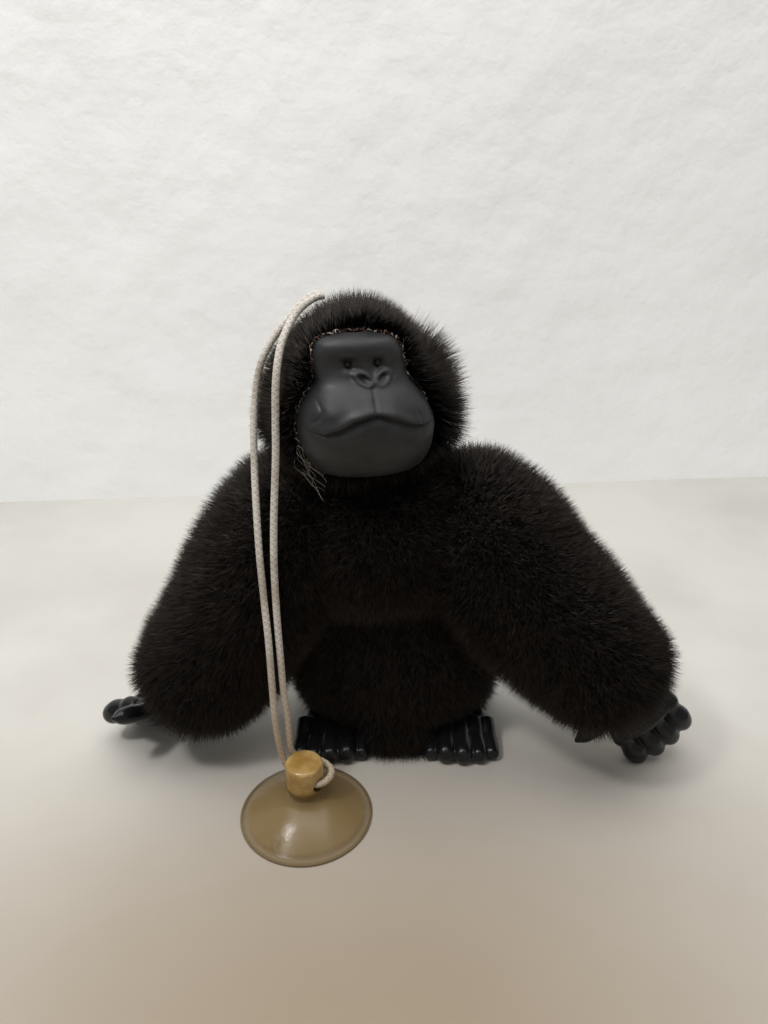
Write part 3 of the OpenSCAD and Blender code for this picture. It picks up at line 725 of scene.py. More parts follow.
def fur_tree() -> bpy.types.NodeTree:
    """The tree that stands hairs on a skin by its cover, pile and comb attributes."""
    tree = bpy.data.node_groups.new("pile_fur", "GeometryNodeTree")
    face = tree.interface
    face.new_socket(name="Skin", in_out="INPUT", socket_type="NodeSocketGeometry")
    for name, kind in (
        ("Hair", "NodeSocketObject"),
        ("Finish", "NodeSocketMaterial"),
        ("Cover", "NodeSocketString"),
        ("Hairs per m2", "NodeSocketFloat"),
        ("Length", "NodeSocketFloat"),
        ("Width", "NodeSocketFloat"),
        ("Tousle", "NodeSocketFloat"),
        ("Clump", "NodeSocketFloat"),
        ("Seed", "NodeSocketInt"),
    ):
        face.new_socket(name=name, in_out="INPUT", socket_type=kind)
    face.new_socket(name="Fur", in_out="OUTPUT", socket_type="NodeSocketGeometry")
    graph = Graph(tree)
    given = graph.put("NodeGroupInput", {}, {})
    take = {s.name: Value(graph, s) for s in given.outputs if s.name}

    def read(name: "str | Value", kind: str = "FLOAT") -> Value:
        """A named attribute of the skin."""
        return graph.node("GeometryNodeInputNamedAttribute", {"data_type": kind}, {"Name": name})

    def vector(operation: str, *terms: Value, scale: "Value | float | None" = None) -> Value:
        """Vector arithmetic."""
        sockets = dict(enumerate(terms))
        if scale is not None:
            sockets["Scale"] = scale
        return graph.node("ShaderNodeVectorMath", {"operation": operation}, sockets)

    def chance(low: float, high: float, extra: int) -> Value:
        """A random number for each hair."""
        sockets = {2: low, 3: high, 8: take["Seed"] + float(extra)}
        return graph.node("FunctionNodeRandomValue", {"data_type": "FLOAT"}, sockets, 1)

    roots = graph.put(
        "GeometryNodeDistributePointsOnFaces",
        {"distribute_method": "RANDOM"},
        {"Mesh": take["Skin"], "Density": take["Hairs per m2"] * read(take["Cover"]), "Seed": take["Seed"]},
    )
    normal = Value(graph, roots.outputs["Normal"])
    noise = graph.put(
        "ShaderNodeTexNoise",
        {},
        {"Vector": graph.node("GeometryNodeInputPosition", {}, {}), "Scale": 320.0, "Detail": 1.0},
    )
    centred = vector("SUBTRACT", Value(graph, noise.outputs["Color"]), graph.vector(0.5, 0.5, 0.5))
    loose = graph.put("FunctionNodeRandomValue", {"data_type": "FLOAT_VECTOR"}, {})
    loose.inputs[0].default_value = (-1.0, -1.0, -1.0)
    loose.inputs[1].default_value = (1.0, 1.0, 1.0)
    tree.links.new(take["Seed"].socket, loose.inputs[8])
    lean = vector("ADD", normal, read("comb", "FLOAT_VECTOR"))
    lean = vector("ADD", lean, vector("SCALE", centred, scale=take["Clump"]))
    lean = vector("ADD", lean, vector("SCALE", Value(graph, loose.outputs[0]), scale=take["Tousle"]))
    aimed = graph.node("FunctionNodeAlignRotationToVector", {"axis": "Z"}, {"Vector": lean})
    roll = graph.node("FunctionNodeAxisAngleToRotation", {}, {"Angle": chance(0.0, 6.2832, 3)})
    turned = graph.node("FunctionNodeRotateRotation", {"rotation_space": "LOCAL"}, {0: aimed, 1: roll})
    length = take["Length"] * read("pile") * (0.62 + chance(0.0, 1.0, 5) ** 0.7 * 0.48)
    width = take["Width"] * chance(0.75, 1.25, 7)
    size = graph.vector(width, width, length)
    shade = chance(0.0, 0.42, 9) + chance(0.0, 1.0, 10) ** 10.0 * 0.57
    shaded_roots = graph.node(
        "GeometryNodeStoreNamedAttribute",
        {"data_type": "FLOAT", "domain": "POINT"},
        {"Geometry": Value(graph, roots.outputs["Points"]), "Name": "shade", "Value": shade},
    )
    hair = graph.put("GeometryNodeObjectInfo", {}, {"Object": take["Hair"]})
    stood = graph.node(
        "GeometryNodeInstanceOnPoints",
        {},
        {
            "Points": shaded_roots,
            "Instance": Value(graph, hair.outputs["Geometry"]),
            "Rotation": turned,
            "Scale": size,
        },
    )
    real = graph.node("GeometryNodeRealizeInstances", {}, {"Geometry": stood})
    across, deep, height = graph.parts(graph.node("GeometryNodeInputPosition", {}, {}))
    lifted = graph.node("ShaderNodeMath", {"operation": "MAXIMUM"}, {0: height, 1: LOWEST_HAIR})
    kept = graph.vector(across, deep, lifted)
    above = graph.node("GeometryNodeSetPosition", {}, {"Geometry": real, "Position": kept})
    map_ = graph.vector(read("shade") + read("across") * 0.008, read("along"), 0.0)
    mapped = graph.node(
        "GeometryNodeStoreNamedAttribute",
        {"data_type": "FLOAT2", "domain": "CORNER"},
        {"Geometry": above, "Name": "OFBake", "Value": map_},
    )
    done = graph.node("GeometryNodeSetMaterial", {}, {"Geometry": mapped, "Material": take["Finish"]})
    graph.put("NodeGroupOutput", {}, {0: done})
    return tree


@dataclass
class FurCoat:
    """The pile on one skin: how long, thick and untidy its hairs are."""

    hairs_per_mm2: float = 9.5
    length: float = 8.6
    width: float = 0.135
    tousle: float = 0.58
    clump: float = 1.35

    def grow(self, skin: bpy.types.Object, body: str, seed: int, most: int = 48000) -> list[bpy.types.Object]:
        """Grows hair on a skin, in pieces that stay small enough to export.

        Args:
            skin: the piece with cover, pile and comb on its points.
            body: the body that the hair rides on.
            seed: start of the random draws.
            most: most hairs in one piece.

        Returns:
            The pieces of pile.
        """
        cover = np.zeros(len(skin.data.vertices), np.float32)
        skin.data.attributes["cover"].data.foreach_get("value", cover)
        areas = np.zeros(len(skin.data.polygons))
        skin.data.polygons.foreach_get("area", areas)
        shares = np.array([cover[list(p.vertices)].mean() for p in skin.data.polygons])
        total = float((areas * shares).sum()) / MM**2 * self.hairs_per_mm2
        count = max(1, math.ceil(total / most))
        tree, hair = fur_tree(), hair_shape()
        grown = []
        for part in range(count):
            piece = skin.copy()
            piece.data = skin.data.copy()
            piece.name = f"{skin.name.replace('_cloth', '')}_pile_{part + 1}"
            bpy.context.scene.collection.objects.link(piece)
            fur = piece.modifiers.new("fur", "NODES")
            fur.node_group = tree
            given = {
                "Hair": hair,
                "Finish": WARDROBE.get(FUR),
                "Cover": "cover",
                "Hairs per m2": self.hairs_per_mm2 / count / MM**2,
                "Length": self.length * MM,
                "Width": self.width * MM,
                "Tousle": self.tousle,
                "Clump": self.clump,
                "Seed": seed + part,
            }
            for socket in tree.interface.items_tree:
                if socket.item_type == "SOCKET" and socket.in_out == "INPUT" and socket.name in given:
                    fur[socket.identifier] = given[socket.name]
            apply_modifiers(piece)
            for name in HAIR_MARKS:
                mark = piece.data.attributes.get(name)
                if mark:
                    piece.data.attributes.remove(mark)
            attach(piece, body)
            LOG.info("%s on %s: %d hairs", piece.name, body, len(piece.data.polygons) // 4)
            grown.append(piece)
        bpy.data.objects.remove(hair)
        bpy.data.node_groups.remove(tree)
        return grown


@dataclass
class Stuffed:
    """What the torso, head and sleeves share: a padded skin that carries a coat of fur."""

    pile_root: float = 5.6
    coat: FurCoat = field(default_factory=FurCoat)

    def finish_skin(
        self,
        skin: bpy.types.Object,
        body: str,
        nodes: Sequence[str],
        fill: float,
        cover: np.ndarray,
        pile: np.ndarray,
        comb: np.ndarray,
        seed: int,
    ) -> list[bpy.types.Object]:
        """Args:
            skin: the closed skin.
            body: its body.
            nodes: the CAD nodes that it stands for.
            fill: how full it is stuffed; not used.
            cover: share of the hairs at each point.
            pile: length of the hairs there, as a share.
            comb: the way they lean.
            seed: start of the random draws.

        Returns:
            The skin and its pile.
        """
        set_attribute(skin, "cover", np.clip(cover, 0, 1))
        set_attribute(skin, "pile", pile)
        set_attribute(skin, "comb", comb)
        grown = self.coat.grow(skin, body, seed)
        for name in ("cover", "pile", "comb"):
            skin.data.attributes.remove(skin.data.attributes[name])
        dressed(skin, BACKING, body)
        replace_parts(skin, *nodes)
        return [skin, *grown]


# ---------------------------------------------------------------- torso


@dataclass
class Torso(Stuffed):
    """The bell-shaped bag of the lower body and the chest."""

    seat_half_w: float = 36.0
    seat_front: float = 24.0
    seat_back: float = 29.0
    chest_half_w: float = 32.0
    chest_front: float = 30.0
    waist_z: float = 54.0
    top: float = 101.0
    lean: float = 4.5
    stance: float = 43.4

    def rows(self) -> list[list[float]]:
        """Rings of the bag's outside: height, half width, front, back, sideways lean."""
        w, f, b = self.seat_half_w, self.seat_front, self.seat_back
        c, d, lean = self.chest_half_w, self.chest_front, self.lean
        return [
            [1.5, w - 6, f - 5, b - 6, 0],
            [5, w - 2.5, f - 2, b - 3, 0],
            [14, w, f, b, 0],
            [32, w - 0.5, f, b, lean * 0.2],
            [self.waist_z - 12, w - 2, f - 1.5, b - 0.5, lean * 0.5],
            [self.waist_z, (w + c) / 2 - 3, d - 8.5, b - 2, lean * 0.7],
            [self.waist_z + 8, c, d - 2, b - 1, lean * 0.8],
            [self.waist_z + 19, c + 1, d, b - 1, lean],
            [self.top - 16, c, d - 1.5, b - 3, lean * 1.3],
            [self.top - 9, c - 4, d - 5, b - 6, lean * 1.6],
            [self.top - 6, c - 8, d - 9, b - 9, lean * 1.8],
            [self.top - 5, c - 13, d - 14, b - 14, lean * 1.8],
        ]

    def build(self) -> list[bpy.types.Object]:
        """Makes the bag and its fur."""
        skin = Skin().loft(body_rings(self.rows(), 44, 64, -self.pile_root, 2.3)).object("torso_cloth")
        p, n = points_of(skin), normals_of(skin)
        set_points(skin, p + n * (0.7 * lumps(p, 26, 11))[:, None] * np.clip(p[:, 2:3] / 12, 0, 1))
        x, y, z = p.T
        cover = np.where(z < 1.8, 0.0, 1.0)
        by_foot = (np.abs(np.abs(x) - self.stance / 2) < 14) & (y < 0)
        cover[by_foot & (z < 6)] = 0.1
        cover *= np.where(np.abs(x + self.lean) > 27, 0.55, 1.0)
        cover *= np.where((z > 92) & (np.hypot(x + 12, y + 8) < 18), 0.1, 1.0)
        pile = np.ones(len(p)) + 0.1 * lumps(p, 15, 12)
        tuft = (np.abs(x) < 9) & (z < 14) & (y < 0)
        pile[tuft] *= 1.45
        pile *= np.where((z > 84) & (y < -10), 0.8, 1.0)
        pile[by_foot] *= np.clip(0.5 + (z[by_foot] - 9) / 24, 0.5, 1)
        comb = np.stack([0.15 * n[:, 0], 0.15 * n[:, 1], np.full(len(p), -0.38)], 1)
        comb[tuft] += (0, -0.35, -0.2)
        comb += 0.12 * np.stack([lumps(p, 22, s) for s in (13, 14, 15)], 1)
        return self.finish_skin(skin, "torso", ["torso_cover", "torso_stuffing"], 0.8, cover, pile, comb, 100)


# ---------------------------------------------------------------- head


@dataclass
class FaceShape:
    """The moulded face: its outline, its bulges and its drawn lines, in mm about the neck axis."""

    width: float = 38.0
    chin_z: float = 101.2
    brow_z: float = 140.5
    back: float = 12.0
    muzzle: float = 16.0
    lean: float = 3.0
    wall: float = 1.6
    eye_gap: float = 7.9
    eye_z: float = 133.0
    rows: Rows = (
        (0, 0.12, 0.14), (0.02, 0.56, 0.5), (0.07, 0.8, 0.76), (0.18, 0.94, 0.93), (0.29, 0.99, 0.99),
        (0.39, 1, 1), (0.51, 0.92, 0.97), (0.61, 0.78, 0.8), (0.69, 0.67, 0.56), (0.78, 0.655, 0.42),
        (0.89, 0.62, 0.42), (0.96, 0.5, 0.33), (1, 0.15, 0.12),
    )
    mouth: Rows = (
        (-17.8, 117.6), (-16.3, 116.7), (-13.2, 116.1), (-9.2, 117.7), (-5.2, 120.0), (-1.5, 121.1),
        (1.5, 121.1), (5.4, 119.9), (9.6, 117.8), (13.6, 116.6), (16.8, 116.9),
    )
    cheek_fold: Rows = ((-13.6, 124.4), (-13.1, 122.4), (-14.0, 120.3), (-16.4, 118.9))
    corner_fold: Rows = ((12.3, 121.0), (13.2, 119.0), (12.9, 117.4))
    philtrum: Rows = ((1.1, 127.4), (0.7, 124.6), (0.2, 121.4))
    nose_x: float = 2.0
    nostril_gap: float = 5.3
    nostril_z: float = 129.5

    @property
    def height(self) -> float:
        """Height of the face."""
        return self.brow_z - self.chin_z

    def relief(self, x: np.ndarray, z: np.ndarray) -> np.ndarray:
        """How far the surface stands out at each place, in mm."""

        def hill(cx: float, cz: float, rx: float, rz: float) -> np.ndarray:
            """A soft round hill of height 1."""
            return np.exp(-(((x - cx) / rx) ** 2 + ((z - cz) / rz) ** 2))

        def groove(line: Rows, width: float) -> np.ndarray:
            """A soft groove of depth 1 along a line."""
            return np.exp(-((to_line(x, z, line)[0] / width) ** 2))

        out = 0.6 * hill(0, 137.4, 9.5, 2.8) + 0.4 * hill(0, 131.9, 2.2, 2.6)
        for eye in (-1, 1):
            cx = eye * self.eye_gap / 2
            out -= 1.15 * hill(cx, self.eye_z, 1.45, 1.3)
            out += 0.3 * hill(cx, self.eye_z - 2.3, 2.6, 0.8) + 0.3 * hill(cx, self.eye_z + 2.1, 2.6, 0.8)
        out += 0.75 * hill(self.nose_x, self.nostril_z, 5.2, 2.4)
        for side in (-1, 1):
            dx, dz = x - self.nose_x - side * self.nostril_gap / 2, z - self.nostril_z
            tilt = side * math.radians(28)
            long = dx * math.cos(tilt) + dz * math.sin(tilt)
            wide = dz * math.cos(tilt) - dx * math.sin(tilt)
            ring = np.hypot(long / 2.15, wide / 1.35)
            out += 0.42 * np.exp(-(((ring - 1.0) / 0.36) ** 2))
            out -= 1.15 * np.exp(-((long / 1.3) ** 2 + (wide / 0.68) ** 2))
            out -= 0.28 * np.exp(-(((ring - 1.65) / 0.3) ** 2)) * np.clip(dz + 1, 0, 1)
        out -= 0.55 * hill(self.nose_x, self.nostril_z + 1.7, 1.0, 0.9)
        out -= 0.42 * groove(self.philtrum, 0.55)
        for ridge in (-1, 1):
            out += 0.6 * hill(self.nose_x - 1.0 + ridge * 4.4, 123.4, 3.3, 3.2)
        distance, above = to_line(x, z, self.mouth)
        out -= 1.15 * np.exp(-((distance / 0.42) ** 2))
        out += np.where(above > 0, 0.85 * np.exp(-(((distance - 1.2) / 1.2) ** 2)), 0.0)
        out -= np.where(above < 0, 0.35 * np.exp(-(((distance - 0.9) / 0.9) ** 2)), 0.0)
        out += np.where(above < 0, 0.35 * np.exp(-(((distance - 3.0) / 1.9) ** 2)), 0.0)
        fold, _ = to_line(x, z, self.cheek_fold)
        out -= 0.65 * np.exp(-((fold / 0.45) ** 2))
        out += 0.35 * hill(-11.2, 122.0, 2.2, 3.4) + 0.3 * hill(-16.2, 121.6, 1.7, 2.2)
        out -= 0.22 * groove(self.corner_fold, 0.35)
        return out

    def grid(self, inset: float, rows: int, columns: int) -> np.ndarray:
        """Points of the front, rows from chin to brow by columns across."""
        table = smooth_rows(self.rows, rows)
        points = []
        for t, half, depth in table:
            z_plain = self.chin_z + self.height * t
            z = self.chin_z + inset + (self.height - 2 * inset) * t
            a = np.linspace(0, math.pi, columns + 1)
            x = -(self.width / 2 * half - inset) * np.cos(a)
            out = np.maximum(self.muzzle * depth - inset, 0.2) * np.maximum(np.sin(a), 0) ** 0.72
            if inset == 0:
                out = out + self.relief(x, np.full_like(x, z_plain)) * np.sin(a)
            lean = -self.lean * ((z - self.chin_z) / self.height) ** 2
            points.append(np.stack([x + lean, -self.back - out, np.full_like(x, z)], 1))
        return np.array(points)

    def outline(self, grow: float, steps: int) -> np.ndarray:
        """The back edge as a closed line of x and z."""
        table = smooth_rows(self.rows, steps)
        ends = []
        for sign, part in ((1, table), (-1, table[::-1])):
            for t, half, _ in part:
                z = self.chin_z + self.height * t + grow * (t - 0.5) * 2
                x = sign * (self.width / 2 * half + grow) - self.lean * ((z - self.chin_z) / self.height) ** 2
                ends.append((x, z))
        return np.array(ends)

    def inside(self, x: np.ndarray, z: np.ndarray, grow: float) -> np.ndarray:
        """Whether places lie inside the outline."""
        t = (z - self.chin_z) / self.height
        table = smooth_rows(self.rows, 80)
        half = np.interp(t, table[:, 0], table[:, 1], left=-1, right=-1) * self.width / 2 + grow
        centre = -self.lean * np.clip(t, 0, 1) ** 2
        near = (z > self.chin_z - grow) & (z < self.brow_z + grow)
        half = np.where(near & (half < grow + 1), self.width * 0.2 + grow, half)
        return near & (np.abs(x - centre) < half)


@dataclass
class Head(Stuffed):
    """The fur hood with the moulded face sewn into it."""

    half_w: float = 29.0
    front: float = 18.0
    back: float = 26.0
    low: float = 95.5
    crown: float = 147.5
    neck: tuple[float, float] = (-12.0, -8.0)
    turned: float = 14.0
    bead: float = 0.9
    face: FaceShape = field(default_factory=FaceShape)

    def place(self) -> np.ndarray:
        """From the neck axis to the toy's frame."""
        return shift(*self.neck, 0) @ turn("Z", self.turned)

    def rows(self) -> list[list[float]]:
        """Rings of the hood's outside about the neck axis."""
        shares = (
            (self.low, 0.42, 0.5, 0.45), (self.low + 3, 0.66, 0.72, 0.7), (self.low + 8, 0.93, 0.9, 0.94),
            (self.low + 13, 1, 0.97, 1), (self.low + 22, 0.955, 1, 1), (self.crown - 18.5, 0.83, 1, 0.93),
            (self.crown - 11, 0.68, 0.94, 0.8), (self.crown - 5.5, 0.52, 0.74, 0.6),
            (self.crown - 1.6, 0.31, 0.45, 0.36), (self.crown, 0.1, 0.15, 0.12),
        )
        return [[z, self.half_w * w, self.front * f, self.back * b, 0] for z, w, f, b in shares]

    def build(self) -> list[bpy.types.Object]:
        """Makes the hood, its fur, the face, the stitches and the loose threads."""
        rings = body_rings(self.rows(), 40, 60, -self.pile_root, 2.2)
        middle, tall = (self.low + self.crown) / 2, self.crown - self.low
        rings[..., 2] = middle + (rings[..., 2] - middle) * (1 - 2 * self.pile_root / tall)
        local = Skin().loft(rings)
        p = np.concatenate(local.points)
        bed = (p[:, 1] < 0) & self.face.inside(p[:, 0], p[:, 2], 2.5)
        p[bed, 1] = -self.face.back + 0.5
        local.points = [p]
        skin = local.placed(self.place()).object("head_cloth")
        x, y, z = p.T
        front = y < -2
        cover = np.where(front & self.face.inside(x, z, 0.4), 0.0, 1.0)
        rim = front & self.face.inside(x, z, 4.5) & (cover > 0)
        pile = 1 + 0.12 * lumps(p, 13, 21)
        pile[rim] *= 0.72
        cheek = (x > 12) & (z > 108) & (z < 130)
        pile[cheek] *= 1.6
        away = np.stack([x - 0, np.zeros(len(p)), z - 120], 1)
        comb = 0.5 * unit(away) * np.where(front, 1.0, 0.35)[:, None]
        comb[:, 1] += np.where(front, -0.15, 0.25)
        comb[rim] += 0.35 * unit(away)[rim]
        comb[z > 128] += (0, 0.1, 0.25)
        comb += 0.16 * np.stack([lumps(p, 16, s) for s in (23, 24, 25)], 1)
        comb = comb @ self.place()[:3, :3].T
        made = self.finish_skin(skin, "head", ["head_cover", "head_stuffing"], 0.8, cover, pile, comb, 200)
        return [*made, self.mask(), *self.eyes(), self.stitches(), self.loose_threads()]

    def mask(self) -> bpy.types.Object:
        """The moulded face, a closed shell with a rolled edge."""
        rows, columns = 150, 132
        outer, inner = self.face.grid(0, rows, columns), self.face.grid(self.face.wall, rows, columns)
        m, n = outer.shape[:2]
        faces = []
        for j in range(m - 1):
            for k in range(n - 1):
                a, b, c, d = j * n + k, j * n + k + 1, (j + 1) * n + k + 1, (j + 1) * n + k
                faces += [(a, b, c, d), tuple(m * n + i for i in (d, c, b, a))]
        ring = [k for k in range(n)] + [j * n + n - 1 for j in range(1, m)]
        ring += [(m - 1) * n + k for k in range(n - 2, -1, -1)] + [j * n for j in range(m - 2, 0, -1)]
        for a, b in zip(ring, ring[1:] + ring[:1]):
            faces.append((b, a, m * n + a, m * n + b))
        skin = Skin().add(np.concatenate([outer.reshape(-1, 3), inner.reshape(-1, 3)]), faces)
        mask = skin.placed(self.place()).object("face")
        dressed(mask, FACE_VINYL, "head")
        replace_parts(mask, "face_mask")
        return mask

    def eyes(self) -> list[bpy.types.Object]:
        """The two glossy beads, half sunk in their sockets."""
        grid = self.face.grid(0, 150, 132).reshape(-1, 3)
        made = []
        for side in Side:
            rise = (self.face.eye_z - self.face.chin_z) / self.face.height
            x = side.value * self.face.eye_gap / 2 - self.face.lean * rise**2
            deep = grid[np.argmin(np.hypot(grid[:, 0] - x, grid[:, 2] - self.face.eye_z)), 1]
            a = np.radians(np.linspace(-88, 88, 19))
            rows = [[self.bead * math.sin(t)] + [self.bead * math.cos(t)] * 3 + [0] for t in a]
            rings = body_rings(rows, 18, 24, 0, 2.0)
            local = Skin().loft(rings)
            local.points = [p + (x, deep - 0.3, self.face.eye_z) for p in local.points]
            bead = local.placed(self.place()).object(f"{side.word}_eye_bead")
            dressed(bead, EYE, "head")
            made.append(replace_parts(bead, f"{side.word}_eye"))
        return made

    def stitches(self) -> bpy.types.Object:
        """Short cotton loops that poke out along the edge of the face."""
        edge = self.face.outline(0.35, 60)
        path = np.stack([edge[:, 0], np.full(len(edge), -self.face.back - 0.5), edge[:, 1]], 1)
        mesh = bpy.data.meshes.new("edge")
        count = len(path)
        line = [(i, (i + 1) % count) for i in range(count)]
        mesh.from_pydata((moved(self.place(), path) * MM).tolist(), line, [])
        piece = bpy.data.objects.new("face_stitches", mesh)
        bpy.context.scene.collection.objects.link(piece)
        repeat_along(piece, stitch_shape(), WARDROBE.get(THREAD), 0.7 * MM, 1.05 * MM, 31)
        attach(piece, "head")
        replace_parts(piece, "face_seam")
        LOG.info("%s on head: %d faces", piece.name, len(piece.data.polygons))
        return piece

    def loose_threads(self) -> bpy.types.Object:
        """A few pale fibres that hang from the seam beside the chin."""
        rng = np.random.default_rng(41)
        skin, shades = Skin(), []
        for _ in range(16):
            start = np.array([rng.uniform(-20.5, -18.3), rng.uniform(-16.5, -12.5), rng.uniform(101, 113)])
            sweep = np.array([rng.uniform(2, 6.5), rng.uniform(-3, -0.5), rng.uniform(-9.5, -4)])
            t = np.linspace(0, 1, 9)[:, None]
            curl = rng.normal(size=3) * 0.8
            path = start + sweep * t + curl * np.sin(t * math.pi * rng.uniform(0.8, 2.0))
            rings = tube_rings(path, [0.04] * 9, 4, (1, 0.2, 0))
            skin.loft(rings)
            shades += [1.0] * (rings.shape[0] * rings.shape[1] + 2)
        piece = skin.placed(self.place()).object("loose_threads")
        set_attribute(piece, "shade", np.array(shades))
        return dressed(piece, THREAD, "head")


def stitch_shape() -> bpy.types.Object:
    """One arched cotton loop, one metre long, that the stitch tree repeats."""
    a = np.linspace(0, math.pi, 7)
    path = np.stack([-0.5 * np.cos(a), np.zeros(7), 0.45 * np.sin(a)], 1) / MM
    return Skin().loft(tube_rings(path, [0.13 / MM] * 7, 5, (0, 1, 0))).object("stitch_shape")


def repeat_along(
    piece: bpy.types.Object,
    shape: bpy.types.Object,
    finish: bpy.types.Material,
    step: float,
    size: float,
    seed: int,
) -> None:
    """Turns a piece's edges into a row of small shapes.

    Args:
        piece: an object whose mesh is a line of edges.
        shape: what is repeated; it is removed afterwards.
        finish: the material of the row.
        step: distance between copies, in metres.
        size: size of a copy, in metres.
        seed: start of the random draws.
    """
    tree = bpy.data.node_groups.new("row_of_stitches", "GeometryNodeTree")
    tree.interface.new_socket(name="Line", in_out="INPUT", socket_type="NodeSocketGeometry")
    for name, kind in (
        ("Shape", "NodeSocketObject"),
        ("Finish", "NodeSocketMaterial"),
        ("Step", "NodeSocketFloat"),
        ("Size", "NodeSocketFloat"),
        ("Seed", "NodeSocketInt"),
    ):
        tree.interface.new_socket(name=name, in_out="INPUT", socket_type=kind)
    tree.interface.new_socket(name="Row", in_out="OUTPUT", socket_type="NodeSocketGeometry")
    graph = Graph(tree)
    given = graph.put("NodeGroupInput", {}, {})
    take = {s.name: Value(graph, s) for s in given.outputs if s.name}
    curve = graph.node("GeometryNodeMeshToCurve", {}, {0: take["Line"]})
    spacing = {"Curve": curve, "Length": take["Step"]}
    points = graph.put("GeometryNodeCurveToPoints", {"mode": "LENGTH"}, spacing)

    def chance(low: float, high: float, extra: int) -> Value:
        """A random number for each copy."""
        sockets = {2: low, 3: high, 8: take["Seed"] + float(extra)}
        return graph.node("FunctionNodeRandomValue", {"data_type": "FLOAT"}, sockets, 1)

    roll = graph.vector(chance(-0.9, 0.9, 1), chance(-0.9, 0.9, 2), chance(-0.9, 0.9, 3))
    spin = graph.node("FunctionNodeEulerToRotation", {}, {0: roll})
    turned = graph.node(
        "FunctionNodeRotateRotation",
        {"rotation_space": "LOCAL"},
        {0: Value(graph, points.outputs["Rotation"]), 1: spin},
    )
    shaded_points = graph.node(
        "GeometryNodeStoreNamedAttribute",
        {"data_type": "FLOAT", "domain": "POINT"},
        {"Geometry": Value(graph, points.outputs["Points"]), "Name": "shade", "Value": chance(0.0, 1.0, 4)},
    )
    model = graph.put("GeometryNodeObjectInfo", {}, {"Object": take["Shape"]})
    scale = take["Size"] * chance(0.6, 1.4, 5)
    stood = graph.node(
        "GeometryNodeInstanceOnPoints",
        {},
        {
            "Points": shaded_points,
            "Instance": Value(graph, model.outputs["Geometry"]),
            "Rotation": turned,
            "Scale": graph.vector(scale, scale, scale),
        },
    )
    real = graph.node("GeometryNodeRealizeInstances", {}, {"Geometry": stood})
    done = graph.node("GeometryNodeSetMaterial", {}, {"Geometry": real, "Material": take["Finish"]})
    graph.put("NodeGroupOutput", {}, {0: done})
    row = piece.modifiers.new("row", "NODES")
    row.node_group = tree
    values = {"Shape": shape, "Finish": finish, "Step": step, "Size": size, "Seed": seed}
    for socket in tree.interface.items_tree:
        if socket.item_type == "SOCKET" and socket.in_out == "INPUT" and socket.name in values:
            row[socket.identifier] = values[socket.name]
    apply_modifiers(piece)
    bpy.data.objects.remove(shape)
    bpy.data.node_groups.remove(tree)


# ---------------------------------------------------------------- arms and hands


